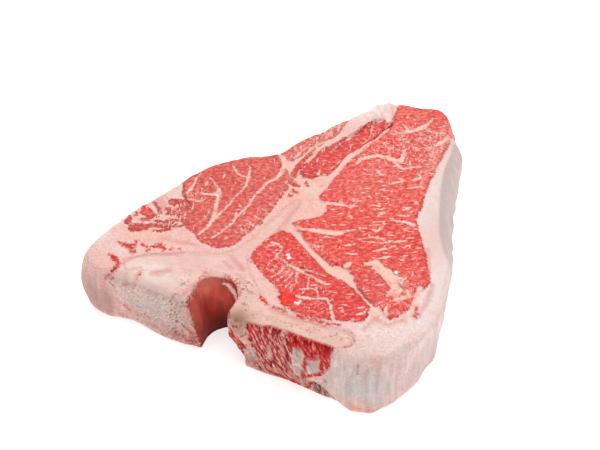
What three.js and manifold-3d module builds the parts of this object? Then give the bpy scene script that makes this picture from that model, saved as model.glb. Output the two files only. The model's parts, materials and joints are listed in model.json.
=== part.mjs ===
// A raw, thick-cut T-bone steak lying flat on one of its two cut faces.
// Units are millimetres and +Z is up. The resting face is z = 0, and the origin is the middle of
// that face's bounding box. The saw cut through the backbone runs along X and faces -Y. The bone's
// thin arm runs back along +Y, with the strip loin on its +X side and the tenderloin on its -X side.
// Every piece goes right through the steak, from the resting face to the upper cut face.
import * as THREE from "three";
import { mergeVertices } from "three/addons/utils/BufferGeometryUtils.js";
import Module from "manifold-3d";

const wasm = await Module();
wasm.setup();

// Sizes of the whole steak
const THICKNESS = 36;
const SEAM_GAP = 0.3; // clear space between neighbouring pieces
const SIDE_STEP = 4.4; // spacing of the points round the steak's side
const SEAM_STEP = 4.2; // spacing of the points round a piece inside the steak
const FACE_STEP = 4.8; // spacing of the grid that shapes the upper cut face
const ABOVE = THICKNESS + 14; // a height that is clear of every relief
const BELOW = -8; // a depth that is clear of the resting face
const BEYOND_THE_CUT = -115; // a y that is clear of the saw cut

// The steak's outline at the resting face, anticlockwise from the saw cut's left end.
// Each entry is x, y, and how far the side leans in from there to the upper face.
const STEAK_OUTLINE = [
  [-83, -90, 2],
  [-70, -92.5, 2.5],
  [-27, -92.5, 2.5],
  [-5.5, -92.5, 2.5],
  [12.5, -93, 3],
  [34, -93.5, 4.5],
  [50.5, -94, 4.5],
  [62.5, -96, 6.5],
  [71, -92.5, 7],
  [80.5, -79.5, 4.5],
  [87, -62, 2],
  [88.5, -47.5, 1.5],
  [86.5, -31.5, 1.5],
  [82.5, -15.5, 3.5],
  [77.5, 2, 7],
  [68.5, 32, 9],
  [62.5, 60, 9],
  [60, 75.5, 8],
  [53.5, 87, 5.5],
  [45, 92.5, 2],
  [37.5, 95.5, 1],
  [26, 93.5, 1],
  [14.5, 90.5, 1.5],
  [6.5, 87.5, 2],
  [-2.5, 76.5, 2],
  [-12.5, 59.5, 2],
  [-25, 37.5, 1.5],
  [-29.5, 26, 1.5],
  [-35, 20, 1.5],
  [-49.5, 10.5, 2],
  [-59.5, 1, 2],
  [-66.5, -9, 2],
  [-71, -20, 2],
  [-76.5, -33.5, 2],
  [-83.5, -51.5, 2],
  [-87, -66.5, 2],
  [-87.5, -81, 2],
];
const LEFT_END_SWELL = 3.4; // how far the soft left end swells out at half height
const SIDE_LUMPS = 0.8; // how far the side's unevenness reaches in and out
const FAT_FOLD_DEPTH = 0.6; // upright folds in the thick fat of the right front corner
const FAT_FOLD_STEP = 19;
const LOWER_EDGE_TUCK = 1; // how far the side tucks in where it meets the resting face

// The T-shaped slice of backbone. Its first and last points lie out beyond the saw cut.
const BONE_OUTLINE = [
  [-67, -106],
  [-67.5, -86.5],
  [-65, -78],
  [-52, -70],
  [-38, -63],
  [-26.5, -58],
  [-20, -51],
  [-16.5, -40],
  [-14, -28.5],
  [-11, -16.5],
  [-7.5, -7],
  [-4.5, -7.5],
  [-5, -18.5],
  [-7.5, -31],
  [-11, -42],
  [-14, -53],
  [-8.5, -61.5],
  [-0.5, -70],
  [9.5, -78],
  [22, -81],
  [36.5, -81],
  [49, -79],
  [55.5, -82.5],
  [53, -88],
  [48, -91],
  [48, -106],
];

// The main muscle of the strip loin. It reaches past the steak's far end.
const STRIP_EYE_OUTLINE = [
  [15.5, 82],
  [15, 99],
  [38, 107],
  [57.5, 97],
  [51.5, 77.5],
  [52, 61.5],
  [52, 39],
  [53.5, 21],
  [56, 2],
  [63.5, -8.5],
  [70, -21],
  [75.5, -33],
  [74, -44.5],
  [71.5, -56],
  [66, -64.5],
  [61, -60.5],
  [52.5, -53.5],
  [43.5, -47.5],
  [36.5, -43],
  [29, -41.5],
  [18.5, -39.5],
  [11, -34],
  [3, -27],
  [-3, -24.5],
  [0.5, -20],
  [6, -16],
  [10, -9.5],
  [9, -4.5],
  [3, -2.5],
  [4, 12],
  [6, 28.5],
  [8.5, 42.5],
  [13, 57],
  [16.5, 71],
];

// The smaller strip-loin muscle between the bone's thin arm and its right arm.
const INNER_STRIP_OUTLINE = [
  [-5.5, -28.5],
  [-0.5, -30.5],
  [7.5, -38],
  [15.5, -43],
  [25, -46.5],
  [34.5, -50.5],
  [43.5, -52.5],
  [52, -57.5],
  [56, -64.5],
  [55.5, -70.5],
  [45.5, -74],
  [36.5, -77.5],
  [25.5, -79],
  [15.5, -76.5],
  [13, -71.5],
  [6.5, -66],
  [0, -63],
  [-5.5, -58.5],
  [-11, -54.5],
  [-11, -46.5],
  [-8.5, -34.5],
];

// The tenderloin. Its first four points lie out beyond the steak's left side.
const TENDERLOIN_OUTLINE = [
  [-38, 29],
  [-56, 16],
  [-72, 3.5],
  [-75.5, -13],
  [-67, -21],
  [-65, -26.5],
  [-61, -31],
  [-53.5, -34],
  [-51.5, -42],
  [-49.5, -49],
  [-43.5, -51.5],
  [-39, -55],
  [-32, -56],
  [-26.5, -53.5],
  [-22, -48],
  [-20, -39],
  [-17.5, -28.5],
  [-16, -16.5],
  [-16, -4],
  [-16, 5],
  [-20, 11],
  [-25, 16],
  [-29.5, 20],
];

// The thin muscle beside the tenderloin, at the steak's left side.
const SIDE_MUSCLE_OUTLINE = [
  [-69.5, -34.5],
  [-62.5, -33.5],
  [-56.5, -36.5],
  [-54, -43],
  [-54, -51],
  [-59, -56],
  [-66.5, -58],
  [-73, -62],
  [-79.5, -61],
  [-89, -57.5],
  [-88, -41.5],
  [-77.5, -30.5],
];

// The two flank muscles of the steak's tail, one on each side of a thin seam.
const OUTER_FLANK_OUTLINE = [
  [-35, 34],
  [-33, 26],
  [-27.5, 21.5],
  [-23, 20],
  [-20, 24.5],
  [-17.5, 32.5],
  [-13, 42],
  [-9, 50],
  [-7, 59],
  [-7, 66.5],
  [-18, 70],
];
const INNER_FLANK_OUTLINE = [
  [-16, 21.5],
  [-13.5, 13],
  [-7, 12],
  [-4, 17],
  [0.5, 19.5],
  [2, 27],
  [3.5, 38],
  [8.5, 49.5],
  [12, 61],
  [14.5, 71.5],
  [10, 73],
  [6, 65.5],
  [2, 56],
  [-4, 48.5],
  [-9, 39.5],
  [-13, 30.5],
];

// The spinal canal, a groove through the saw cut, as it changes with height:
// z, its left and right walls' x where it opens, and the y of its back wall.
const CANAL_SECTIONS = [
  [BELOW, -21, 3.5, -72.5],
  [7, -22, 2.5, -72.5],
  [13.5, -23.5, -2.5, -72],
  [19, -24.5, -6, -72],
  [27, -25.5, -6, -71.5],
  [THICKNESS, -27.5, -6, -71],
  [ABOVE, -28, -6, -71],
];
const CANAL_ROUNDING = 11; // how deep the rounded back of the groove is
const CANAL_SIDES = 10; // flat strips round that back
const CANAL_UNEVENNESS = 0.04; // as a share of its width

// The torn slit between the tail's inner flank muscle and the strip loin
const SLIT_ROUTE = [
  [6.5, 38],
  [9, 46],
  [12.5, 56],
  [15, 65],
  [16.5, 71.5],
];
const SLIT_WIDTH = 1.3;
const SLIT_DEPTH = 6;

// The soft ridge of fat along the tail's left side
const RIDGE_ROUTE = [
  [-2, 62],
  [4, 74],
  [9, 82],
];
const RIDGE_HEIGHT = 3.2;
const RIDGE_SPREAD = 7;
const RIDGE_LUMPS = 1.3;
const RIDGE_LUMP_SIZE = 6;

// Unevenness of each kind of upper face, as pairs of lump size and height
const MUSCLE_LUMPS = [
  [16, 0.8],
  [7, 0.3],
];
const RAGGED_LUMPS = [[6, 1.1]];
const BONE_LUMPS = [[9, 0.4]];
const FAT_LUMPS = [[12, 0.7]];
const EDGE_LUMP_SIZE = 7; // spacing of the wanders in a piece's edge

// A ledge of skin and fat that sticks out under the left of the saw cut, fading at both ends
const LEDGE = { left: -79, right: -25, fade: 6, top: 5, out: 1.4 };

// A repeatable value from -1 to 1 for each whole-numbered grid point
function gridValue(i, j, seed) {
  const wave = Math.sin(i * 127.1 + j * 311.7 + seed * 74.7) * 43758.5453;
  return 2 * (wave - Math.floor(wave)) - 1;
}

// Smooth unevenness from -1 to 1 whose lumps are about size across
function unevenness(x, y, size, seed) {
  const i = Math.floor(x / size);
  const j = Math.floor(y / size);
  const ease = (t) => t * t * (3 - 2 * t);
  const u = ease(x / size - i);
  const v = ease(y / size - j);
  const near = THREE.MathUtils.lerp(gridValue(i, j, seed), gridValue(i + 1, j, seed), u);
  const far = THREE.MathUtils.lerp(gridValue(i, j + 1, seed), gridValue(i + 1, j + 1, seed), u);
  return THREE.MathUtils.lerp(near, far, v);
}

// The distance from a point to a route of straight stretches
function distanceTo(route, x, y) {
  const point = new THREE.Vector3(x, y, 0);
  const nearest = new THREE.Vector3();
  let least = Infinity;
  for (let k = 0; k + 1 < route.length; k++) {
    const stretch = new THREE.Line3(
      new THREE.Vector3(...route[k], 0),
      new THREE.Vector3(...route[k + 1], 0),
    );
    stretch.closestPointToPoint(point, true, nearest);
    least = Math.min(least, nearest.distanceTo(point));
  }
  return least;
}

// A smooth closed line through the named points, as evenly spaced points
function smoothLoop(points, step) {
  const corners = points.map(([x, y, lean = 0]) => new THREE.Vector3(x, y, lean));
  const curve = new THREE.CatmullRomCurve3(corners, true, "centripetal");
  return curve.getSpacedPoints(Math.round(curve.getLength() / step)).slice(0, -1);
}

// The outward direction at each point of an anticlockwise or clockwise loop
function outwardNormals(loop) {
  const turn = Math.sign(THREE.ShapeUtils.area(loop));
  return loop.map((_, k) => {
    const before = loop[(k + loop.length - 1) % loop.length];
    const after = loop[(k + 1) % loop.length];
    return new THREE.Vector2(after.y - before.y, before.x - after.x).normalize().multiplyScalar(turn);
  });
}

// The loop moved outwards by a distance
function grown(loop, distance) {
  const normals = outwardNormals(loop);
  return loop.map((p, k) => new THREE.Vector2(p.x + normals[k].x * distance, p.y + normals[k].y * distance));
}

// The outline of a piece inside the steak, with the wandering edge that a muscle or a bone has
function pieceLoop(points, wander, seed) {
  const loop = smoothLoop(points, SEAM_STEP);
  const normals = outwardNormals(loop);
  return loop.map((p, k) => {
    const out = wander * unevenness(p.x, p.y, EDGE_LUMP_SIZE, seed);
    return new THREE.Vector2(p.x + normals[k].x * out, p.y + normals[k].y * out);
  });
}

// A geometry whose faces close it, as a solid that can be cut and joined
function solidOf(geometry) {
  const bare = geometry.clone();
  bare.deleteAttribute("normal");
  bare.deleteAttribute("uv");
  const merged = mergeVertices(bare, 1e-4);
  return new wasm.Manifold(
    new wasm.Mesh({
      numProp: 3,
      vertProperties: merged.attributes.position.array,
      triVerts: new Uint32Array(merged.index.array),
    }),
  );
}

function solidFrom(corners, faces) {
  const geometry = new THREE.BufferGeometry().setFromPoints(corners);
  geometry.setIndex(faces);
  return solidOf(geometry);
}

// A solid as a geometry with crisp edges between its faces
function geometryOf(solid) {
  const mesh = solid.getMesh();
  const geometry = new THREE.BufferGeometry();
  geometry.setAttribute("position", new THREE.BufferAttribute(mesh.vertProperties, mesh.numProp));
  geometry.setIndex(new THREE.BufferAttribute(mesh.triVerts, 1));
  const flat = geometry.toNonIndexed();
  flat.computeVertexNormals();
  return flat;
}

// A column that stands straight up from a loop
function column(loop, low = BELOW) {
  const geometry = new THREE.ExtrudeGeometry(new THREE.Shape(loop), {
    depth: ABOVE - low,
    bevelEnabled: false,
  });
  geometry.translate(0, 0, low);
  return solidOf(geometry);
}

// A solid through loops of equally many anticlockwise points, one above the other
function stack(loops) {
  const count = loops[0].length;
  const corners = loops.flat();
  const faces = [];
  for (let level = 0; level + 1 < loops.length; level++) {
    for (let k = 0; k < count; k++) {
      const a = level * count + k;
      const b = level * count + ((k + 1) % count);
      faces.push(a, b, b + count, a, b + count, a + count);
    }
  }
  const lid = THREE.ShapeUtils.triangulateShape(loops[loops.length - 1], []);
  const floor = THREE.ShapeUtils.triangulateShape(loops[0], []);
  const last = (loops.length - 1) * count;
  lid.forEach(([a, b, c]) => faces.push(last + a, last + b, last + c));
  floor.forEach(([a, b, c]) => faces.push(c, b, a));
  return solidFrom(corners, faces);
}

// A block that reaches up to a shaped surface, over the loop's own area
function groundUnder(loop, heightAt) {
  const box = new THREE.Box2().setFromPoints(loop).expandByScalar(FACE_STEP);
  const low = box.min.clone().divideScalar(FACE_STEP).floor();
  const high = box.max.clone().divideScalar(FACE_STEP).ceil();
  const across = high.x - low.x + 1;
  const along = high.y - low.y + 1;
  const top = [];
  for (let j = 0; j < along; j++) {
    for (let i = 0; i < across; i++) {
      const x = (low.x + i) * FACE_STEP;
      const y = (low.y + j) * FACE_STEP;
      top.push(new THREE.Vector3(x, y, heightAt(x, y)));
    }
  }
  const corners = [...top, ...top.map((p) => new THREE.Vector3(p.x, p.y, BELOW))];
  const under = top.length;
  const faces = [];
  for (let j = 0; j + 1 < along; j++) {
    for (let i = 0; i + 1 < across; i++) {
      const a = j * across + i;
      const [b, c, d] = [a + 1, a + across + 1, a + across];
      const halves = (i + j) % 2 ? [a, b, c, a, c, d] : [a, b, d, b, c, d];
      faces.push(...halves, ...halves.toReversed().map((k) => k + under));
    }
  }
  const wall = (a, b) => faces.push(b, a, a + under, b, a + under, b + under);
  for (let i = 0; i + 1 < across; i++) {
    wall(i, i + 1);
    wall((along - 1) * across + i + 1, (along - 1) * across + i);
  }
  for (let j = 0; j + 1 < along; j++) {
    wall((j + 1) * across, j * across);
    wall(j * across + across - 1, (j + 1) * across + across - 1);
  }
  return solidFrom(corners, faces);
}

// How far the side stands out of its outline at a place and a height
function sideRelief({ x, y }, z) {
  const { smoothstep } = THREE.MathUtils;
  const lumps = SIDE_LUMPS * unevenness(x * 0.8 + y, z * 1.4, 12, 3);
  const swell = LEFT_END_SWELL * smoothstep(-x, 70, 84) * Math.sin((Math.PI * z) / THICKNESS);
  const inFrontCorner = x > 52 && y < -35;
  const folds = inFrontCorner ? FAT_FOLD_DEPTH * Math.sin((2 * Math.PI * (x - y)) / FAT_FOLD_STEP) : 0;
  const alongLedge =
    smoothstep(x, LEDGE.left, LEDGE.left + LEDGE.fade) - smoothstep(x, LEDGE.right - LEDGE.fade, LEDGE.right);
  const ledge = y < -85 && z < LEDGE.top ? LEDGE.out * alongLedge : 0;
  return lumps + swell + folds + ledge;
}

// The whole steak's side, standing higher than the upper face: each part of the side rises
// straight and then rounds in by its own lean.
function steakSide() {
  const base = smoothLoop(STEAK_OUTLINE, SIDE_STEP);
  const normals = outwardNormals(base);
  const heights = [0, 1.2, 4.5, 6.5, 13, 19.5, 25, 29.5, 33, 35, THICKNESS + 0.5, ABOVE];
  const loops = heights.map((z) =>
    base.map((p, k) => {
      const lean = p.z;
      const shoulder = 2 * lean + 1;
      const climbed = THREE.MathUtils.clamp((z - THICKNESS + shoulder) / shoulder, 0, 1);
      const inwards = lean * (1 - Math.sqrt(1 - climbed ** 2)) + (z === 0 ? LOWER_EDGE_TUCK : 0);
      const out = sideRelief(p, Math.min(z, THICKNESS)) - inwards;
      return new THREE.Vector3(p.x + normals[k].x * out, p.y + normals[k].y * out, z);
    }),
  );
  return stack(loops);
}

// The groove of the spinal canal, open towards -Y
function spinalCanal() {
  const loops = CANAL_SECTIONS.map(([z, left, right, back]) => {
    const middle = (left + right) / 2;
    const half = (right - left) / 2;
    const loop = [
      new THREE.Vector3(left, BEYOND_THE_CUT, z),
      new THREE.Vector3(right, BEYOND_THE_CUT, z),
    ];
    for (let k = 0; k <= CANAL_SIDES; k++) {
      const angle = (Math.PI * k) / CANAL_SIDES;
      const width = half * (1 + CANAL_UNEVENNESS * unevenness(k * 9, z, 8, 21));
      const x = middle + width * Math.cos(angle);
      const y = back - CANAL_ROUNDING * (1 - Math.sin(angle));
      loop.push(new THREE.Vector3(x, y, z));
    }
    return loop;
  });
  return stack(loops);
}

// A blade-shaped space with pointed ends, to be cut out of the fat
function tornSlit() {
  const there = SLIT_ROUTE.map(([x, y], k) => {
    const width = k === 0 || k === SLIT_ROUTE.length - 1 ? SLIT_WIDTH / 3 : SLIT_WIDTH;
    return new THREE.Vector2(x - width / 2, y);
  });
  const back = SLIT_ROUTE.map(([x, y]) => new THREE.Vector2(x + SLIT_WIDTH / 2, y)).reverse();
  return column([...there, ...back], THICKNESS - SLIT_DEPTH);
}

// The height of a cut face that stands proud of the steak's thickness by its level
function faceHeight(level, lumps, seed) {
  return (x, y) => {
    const heights = lumps.map(([size, height], k) => height * unevenness(x, y, size, seed + k));
    return THICKNESS + level + heights.reduce((sum, height) => sum + height, 0);
  };
}

// The fat's upper face, with the ridge along the tail
function fatHeight(x, y) {
  const ridge = Math.exp(-((distanceTo(RIDGE_ROUTE, x, y) / RIDGE_SPREAD) ** 2));
  const ridgeTop = RIDGE_HEIGHT + RIDGE_LUMPS * unevenness(x, y, RIDGE_LUMP_SIZE, 62);
  return faceHeight(0, FAT_LUMPS, 61)(x, y) + ridge * ridgeTop;
}

// Moist surfaces, none of them metal
function skin(colour, roughness) {
  return new THREE.MeshStandardMaterial({ color: colour, roughness, metalness: 0 });
}
const BONE_SKIN = skin("#e3c3b6", 0.6);
const FAT_SKIN = skin("#f1d3cb", 0.5);
const STRIP_SKIN = skin("#dc5a52", 0.45);
const TENDERLOIN_SKIN = skin("#cf6259", 0.45);
const FLANK_SKIN = skin("#d0494a", 0.45);

// Everything inside the fat: its name, outline, how far its edge wanders, the level and lumps of
// its upper face, and its skin
const INNER_PIECES = [
  ["bone", BONE_OUTLINE, 0.3, -0.3, BONE_LUMPS, BONE_SKIN],
  ["strip_eye", STRIP_EYE_OUTLINE, 0.6, 0.7, MUSCLE_LUMPS, STRIP_SKIN],
  ["inner_strip", INNER_STRIP_OUTLINE, 0.6, 0.4, MUSCLE_LUMPS, STRIP_SKIN],
  ["tenderloin", TENDERLOIN_OUTLINE, 0.5, 0.6, MUSCLE_LUMPS, TENDERLOIN_SKIN],
  ["side_muscle", SIDE_MUSCLE_OUTLINE, 0.5, -0.6, RAGGED_LUMPS, TENDERLOIN_SKIN],
  ["outer_flank", OUTER_FLANK_OUTLINE, 0.3, 0, MUSCLE_LUMPS, FLANK_SKIN],
  ["inner_flank", INNER_FLANK_OUTLINE, 0.3, -0.8, MUSCLE_LUMPS, FLANK_SKIN],
];

function namedMesh(name, solid, material) {
  const mesh = new THREE.Mesh(geometryOf(solid), material);
  mesh.name = name;
  return mesh;
}

// The largest of a solid's separate bodies, without the scraps that a cut may leave
function wholeOf(solid) {
  return solid.decompose().sort((a, b) => b.volume() - a.volume())[0];
}

const steak = new THREE.Group();
const side = steakSide().subtract(spinalCanal()).subtract(tornSlit());
let fat = side.intersect(groundUnder(smoothLoop(STEAK_OUTLINE, SIDE_STEP), fatHeight));
INNER_PIECES.forEach(([name, outline, wander, level, lumps, material], k) => {
  const loop = pieceLoop(outline, wander, k);
  const face = faceHeight(level, lumps, 10 + k);
  const piece = side.intersect(column(loop)).intersect(groundUnder(loop, face));
  fat = fat.subtract(column(grown(loop, SEAM_GAP)));
  steak.add(namedMesh(name, wholeOf(piece), material));
});
steak.add(namedMesh("fat", wholeOf(fat), FAT_SKIN));

export default steak;
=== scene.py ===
# %% [markdown]
# # A raw T-bone steak
# A T-bone is one thick slice through the loin. A slice of backbone, sawn through, holds two muscles apart:
# the broad strip loin and the round tenderloin. Fat and thin skins fill every seam, and a tail of flank
# runs out at the far end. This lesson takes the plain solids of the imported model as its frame, makes one
# continuous skin over all of them, cuts that skin into the real pieces as a butcher would, and paints them.
# All lengths here are in millimetres. Blender works in metres, so MM turns one into the other.

# %% Load the frame
import json
import math

import bpy
import numpy as np
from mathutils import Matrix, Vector
from mathutils.bvhtree import BVHTree


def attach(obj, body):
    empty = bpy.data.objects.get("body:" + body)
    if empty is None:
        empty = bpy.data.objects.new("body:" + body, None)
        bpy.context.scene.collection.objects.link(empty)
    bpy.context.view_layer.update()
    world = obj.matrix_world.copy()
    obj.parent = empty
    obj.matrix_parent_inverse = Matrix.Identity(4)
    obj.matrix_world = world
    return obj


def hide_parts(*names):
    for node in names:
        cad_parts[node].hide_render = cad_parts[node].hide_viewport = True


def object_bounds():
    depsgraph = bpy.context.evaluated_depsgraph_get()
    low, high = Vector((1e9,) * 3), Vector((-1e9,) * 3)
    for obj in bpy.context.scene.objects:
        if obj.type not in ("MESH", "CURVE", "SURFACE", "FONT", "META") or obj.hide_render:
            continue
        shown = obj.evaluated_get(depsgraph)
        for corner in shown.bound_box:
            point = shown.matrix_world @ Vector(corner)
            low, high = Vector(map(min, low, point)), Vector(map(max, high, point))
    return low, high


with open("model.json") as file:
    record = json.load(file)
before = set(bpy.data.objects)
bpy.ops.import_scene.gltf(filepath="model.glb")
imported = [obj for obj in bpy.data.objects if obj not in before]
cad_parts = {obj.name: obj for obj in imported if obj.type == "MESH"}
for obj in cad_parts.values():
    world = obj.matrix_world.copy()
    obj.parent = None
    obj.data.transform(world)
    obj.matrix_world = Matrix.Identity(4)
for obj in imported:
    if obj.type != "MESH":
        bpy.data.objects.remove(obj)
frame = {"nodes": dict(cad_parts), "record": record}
CAD_LOW, CAD_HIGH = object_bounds()
MM = 0.001
THICKNESS = 36
EVERY_HEIGHT = 1000
print("frame loaded:", sorted(frame["nodes"]))

# %% [markdown]
# ## Camera
# The picture was taken from the front, a little to the right, at 45 degrees above the table. Distance and
# lens belong together: the nearer the camera, the more the front corner grows against the far tail.

# %% Camera
CAMERA_TARGET = Vector((2.25, -23.85, THICKNESS))
CAMERA_TILT = math.radians(45)
CAMERA_TURN = math.radians(24)
CAMERA_DISTANCE = 540
CAMERA_LENS = 63
CAMERA_SENSOR = 36

towards_camera = Vector((
    math.sin(CAMERA_TURN) * math.cos(CAMERA_TILT),
    -math.cos(CAMERA_TURN) * math.cos(CAMERA_TILT),
    math.sin(CAMERA_TILT),
))
bpy.ops.object.camera_add(location=(CAMERA_TARGET + towards_camera * CAMERA_DISTANCE) * MM)
camera = bpy.context.object
camera.name = "camera"
camera.rotation_euler = (-towards_camera).to_track_quat("-Z", "Y").to_euler()
camera.data.lens = CAMERA_LENS
camera.data.sensor_width = CAMERA_SENSOR
camera.data.clip_start = 0.01
bpy.context.scene.camera = camera
print("camera at", [round(value, 3) for value in camera.location])

# %% [markdown]
# ## Light and floor
# Meat looks fresh in broad, soft, white light. A white world lights all sides, and one large panel above
# and behind gives the upper face a little more than the walls. The Standard view keeps the painted colours
# as they are, where a film-like view would wash the reds out.

# %% Light and floor
WORLD_STRENGTH = 0.56
PANEL_SIZE = 900
PANEL_POWER = 4.2
PANEL_PLACE = Vector((-120, 160, 800))
FLOOR_SIZE = 30000

world = bpy.data.worlds.new("soft white studio")
bpy.context.scene.world = world
world.use_nodes = True
world.node_tree.nodes["Background"].inputs["Color"].default_value = (1, 1, 1, 1)
world.node_tree.nodes["Background"].inputs["Strength"].default_value = WORLD_STRENGTH

bpy.ops.object.light_add(type="AREA", location=PANEL_PLACE * MM)
panel = bpy.context.object
panel.name = "soft panel"
panel.rotation_euler = (Vector((0, 0, 0)) - PANEL_PLACE).to_track_quat("-Z", "Y").to_euler()
panel.data.size = PANEL_SIZE * MM
panel.data.energy = PANEL_POWER

bpy.ops.mesh.primitive_plane_add(size=FLOOR_SIZE * MM, location=(0, 0, 0))
floor = bpy.context.object
floor.name = "floor"
bpy.context.scene.view_settings.view_transform = "Standard"
print("floor and lights ready")

# %% [markdown]
# ## Working with a mesh as a list of points
# Operators do the modelling. Where a surface is pushed in and out by a smooth random pattern, it is quicker
# to read all points into one array, work on the array, and write it back.

# %% Helpers for meshes
MERGE_DISTANCE = 0.01
NOISE_CELLS = 64


def only(piece):
    """Makes this piece the only selected one, and the active one."""
    bpy.ops.object.select_all(action="DESELECT")
    piece.select_set(True)
    bpy.context.view_layer.objects.active = piece


def copy_of_node(name, new_name):
    """A merged copy of a node's mesh as an object of its own."""
    mesh = frame["nodes"][name].data.copy()
    mesh.materials.clear()
    piece = bpy.data.objects.new(new_name, mesh)
    bpy.context.collection.objects.link(piece)
    only(piece)
    bpy.ops.object.mode_set(mode="EDIT")
    bpy.ops.mesh.select_all(action="SELECT")
    bpy.ops.mesh.remove_doubles(threshold=MERGE_DISTANCE * MM)
    bpy.ops.object.mode_set(mode="OBJECT")
    return piece


def fatten(piece, thickness):
    """Moves the whole surface outwards along its normals."""
    only(piece)
    bpy.ops.object.mode_set(mode="EDIT")
    bpy.ops.mesh.select_all(action="SELECT")
    bpy.ops.transform.shrink_fatten(value=thickness * MM)
    bpy.ops.object.mode_set(mode="OBJECT")


def apply_modifier(piece, kind, **settings):
    """Adds a modifier with these settings and applies it."""
    only(piece)
    modifier = piece.modifiers.new(kind.lower(), kind)
    for name, value in settings.items():
        setattr(modifier, name, value)
    bpy.ops.object.modifier_apply(modifier=modifier.name)


def read_points(piece, what="co"):
    """The points of a piece in mm, or their normals, as an array of rows."""
    values = np.empty(len(piece.data.vertices) * 3)
    piece.data.vertices.foreach_get(what, values)
    return values.reshape(-1, 3) / (MM if what == "co" else 1)


def write_points(piece, points):
    """Puts the points, in mm, back into the mesh."""
    piece.data.vertices.foreach_set("co", (points * MM).ravel())
    piece.data.update()


def smooth_noise(points, size, seed):
    """A smooth random value from -1 to 1 at each point, with bumps about size mm wide."""
    lattice = np.random.default_rng(seed).uniform(-1, 1, (NOISE_CELLS,) * 3)
    place = points / size
    corner = np.floor(place).astype(int)
    share = place - corner
    share = share * share * (3 - 2 * share)
    total = np.zeros(len(points))
    for dx in (0, 1):
        for dy in (0, 1):
            for dz in (0, 1):
                weight = (
                    np.abs(1 - dx - share[:, 0])
                    * np.abs(1 - dy - share[:, 1])
                    * np.abs(1 - dz - share[:, 2])
                )
                index = (corner + (dx, dy, dz)) % NOISE_CELLS
                total += weight * lattice[index[:, 0], index[:, 1], index[:, 2]]
    return total


def closeness(points, middle, reach):
    """1 at the middle, falling softly to 0 beyond the reach. With x and y alone, the same at every height."""
    away = (((points[:, : len(middle)] - middle) / reach) ** 2).sum(axis=1)
    return np.exp(-away)


# %% [markdown]
# ## One skin over the whole steak
# In the frame, thin gaps part the bone, the muscles and the fat. On the real steak they have grown together
# and the knife went through all of them in one stroke, so nothing steps or gapes at a seam. Fattening each
# solid a little closes the gaps, and a voxel remesh then keeps only the outer surface, as one even grid
# that is fine enough for small relief.

# %% One skin
GAP_CLOSER = 0.22
SKIN_GRID = 0.7
SMOOTH_FACTOR = 0.5
SMOOTH_ROUNDS = 9
INNER_NODES = [
    "bone",
    "strip_eye",
    "inner_strip",
    "tenderloin",
    "side_muscle",
    "outer_flank",
    "inner_flank",
]

copies = []
for node in INNER_NODES + ["fat"]:
    piece = copy_of_node(node, "part_of_" + node)
    fatten(piece, GAP_CLOSER)
    copies.append(piece)
bpy.ops.object.select_all(action="DESELECT")
for piece in copies:
    piece.select_set(True)
bpy.context.view_layer.objects.active = copies[0]
bpy.ops.object.join()
whole = bpy.context.object
whole.name = "whole_steak"
apply_modifier(whole, "REMESH", mode="VOXEL", voxel_size=SKIN_GRID * MM)
fatten(whole, -GAP_CLOSER)
apply_modifier(whole, "SMOOTH", factor=SMOOTH_FACTOR, iterations=SMOOTH_ROUNDS)
print("skin of the whole steak:", len(whole.data.polygons), "faces")

# %% [markdown]
# ## Strokes
# Veins of fat, blood spots and creases are drawn as a painter would: a stroke is a row of places
# (x, y, width) on the cut face, and a row with one place is a dot. For every point of a mesh, the distance
# to the nearest stroke says how deep it lies inside the stroke. A material later turns such a depth into
# colour, with a ragged edge. FAR is the depth beyond which no distance is worked out.

# %% Depth inside strokes
FAR = -6.0


def stroke_depth(points, strokes, first=0, second=1, breadth=1):
    """How deep in mm each point lies in the nearest stroke. Outside it is below zero."""
    depth = np.full(len(points), FAR)
    u, v = points[:, first], points[:, second]
    for stroke in strokes:
        stroke = stroke if len(stroke) > 1 else stroke * 2
        for (u0, v0, w0), (u1, v1, w1) in zip(stroke, stroke[1:]):
            reach = max(w0, w1) / 2 - FAR
            near = (u > min(u0, u1) - reach) & (u < max(u0, u1) + reach)
            near &= (v > min(v0, v1) - reach) & (v < max(v0, v1) + reach)
            du, dv = u1 - u0 + 1e-6, v1 - v0
            along = ((u[near] - u0) * du + (v[near] - v0) * dv) / (du * du + dv * dv)
            along = np.clip(along, 0, 1)
            away = np.hypot(u[near] - u0 - along * du, v[near] - v0 - along * dv)
            depth[near] = np.maximum(depth[near], (w0 + along * (w1 - w0)) * breadth / 2 - away)
    return depth


# %% [markdown]
# ### Veins of fat in the lean
# The tenderloin shows the silver seam down its middle and a star of veins at its left. The strip loin has a
# wedge of fat from the bone, a loose chain across its middle, an island near its lower right, and a fan of
# fine veins in its small inner muscle.

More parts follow.
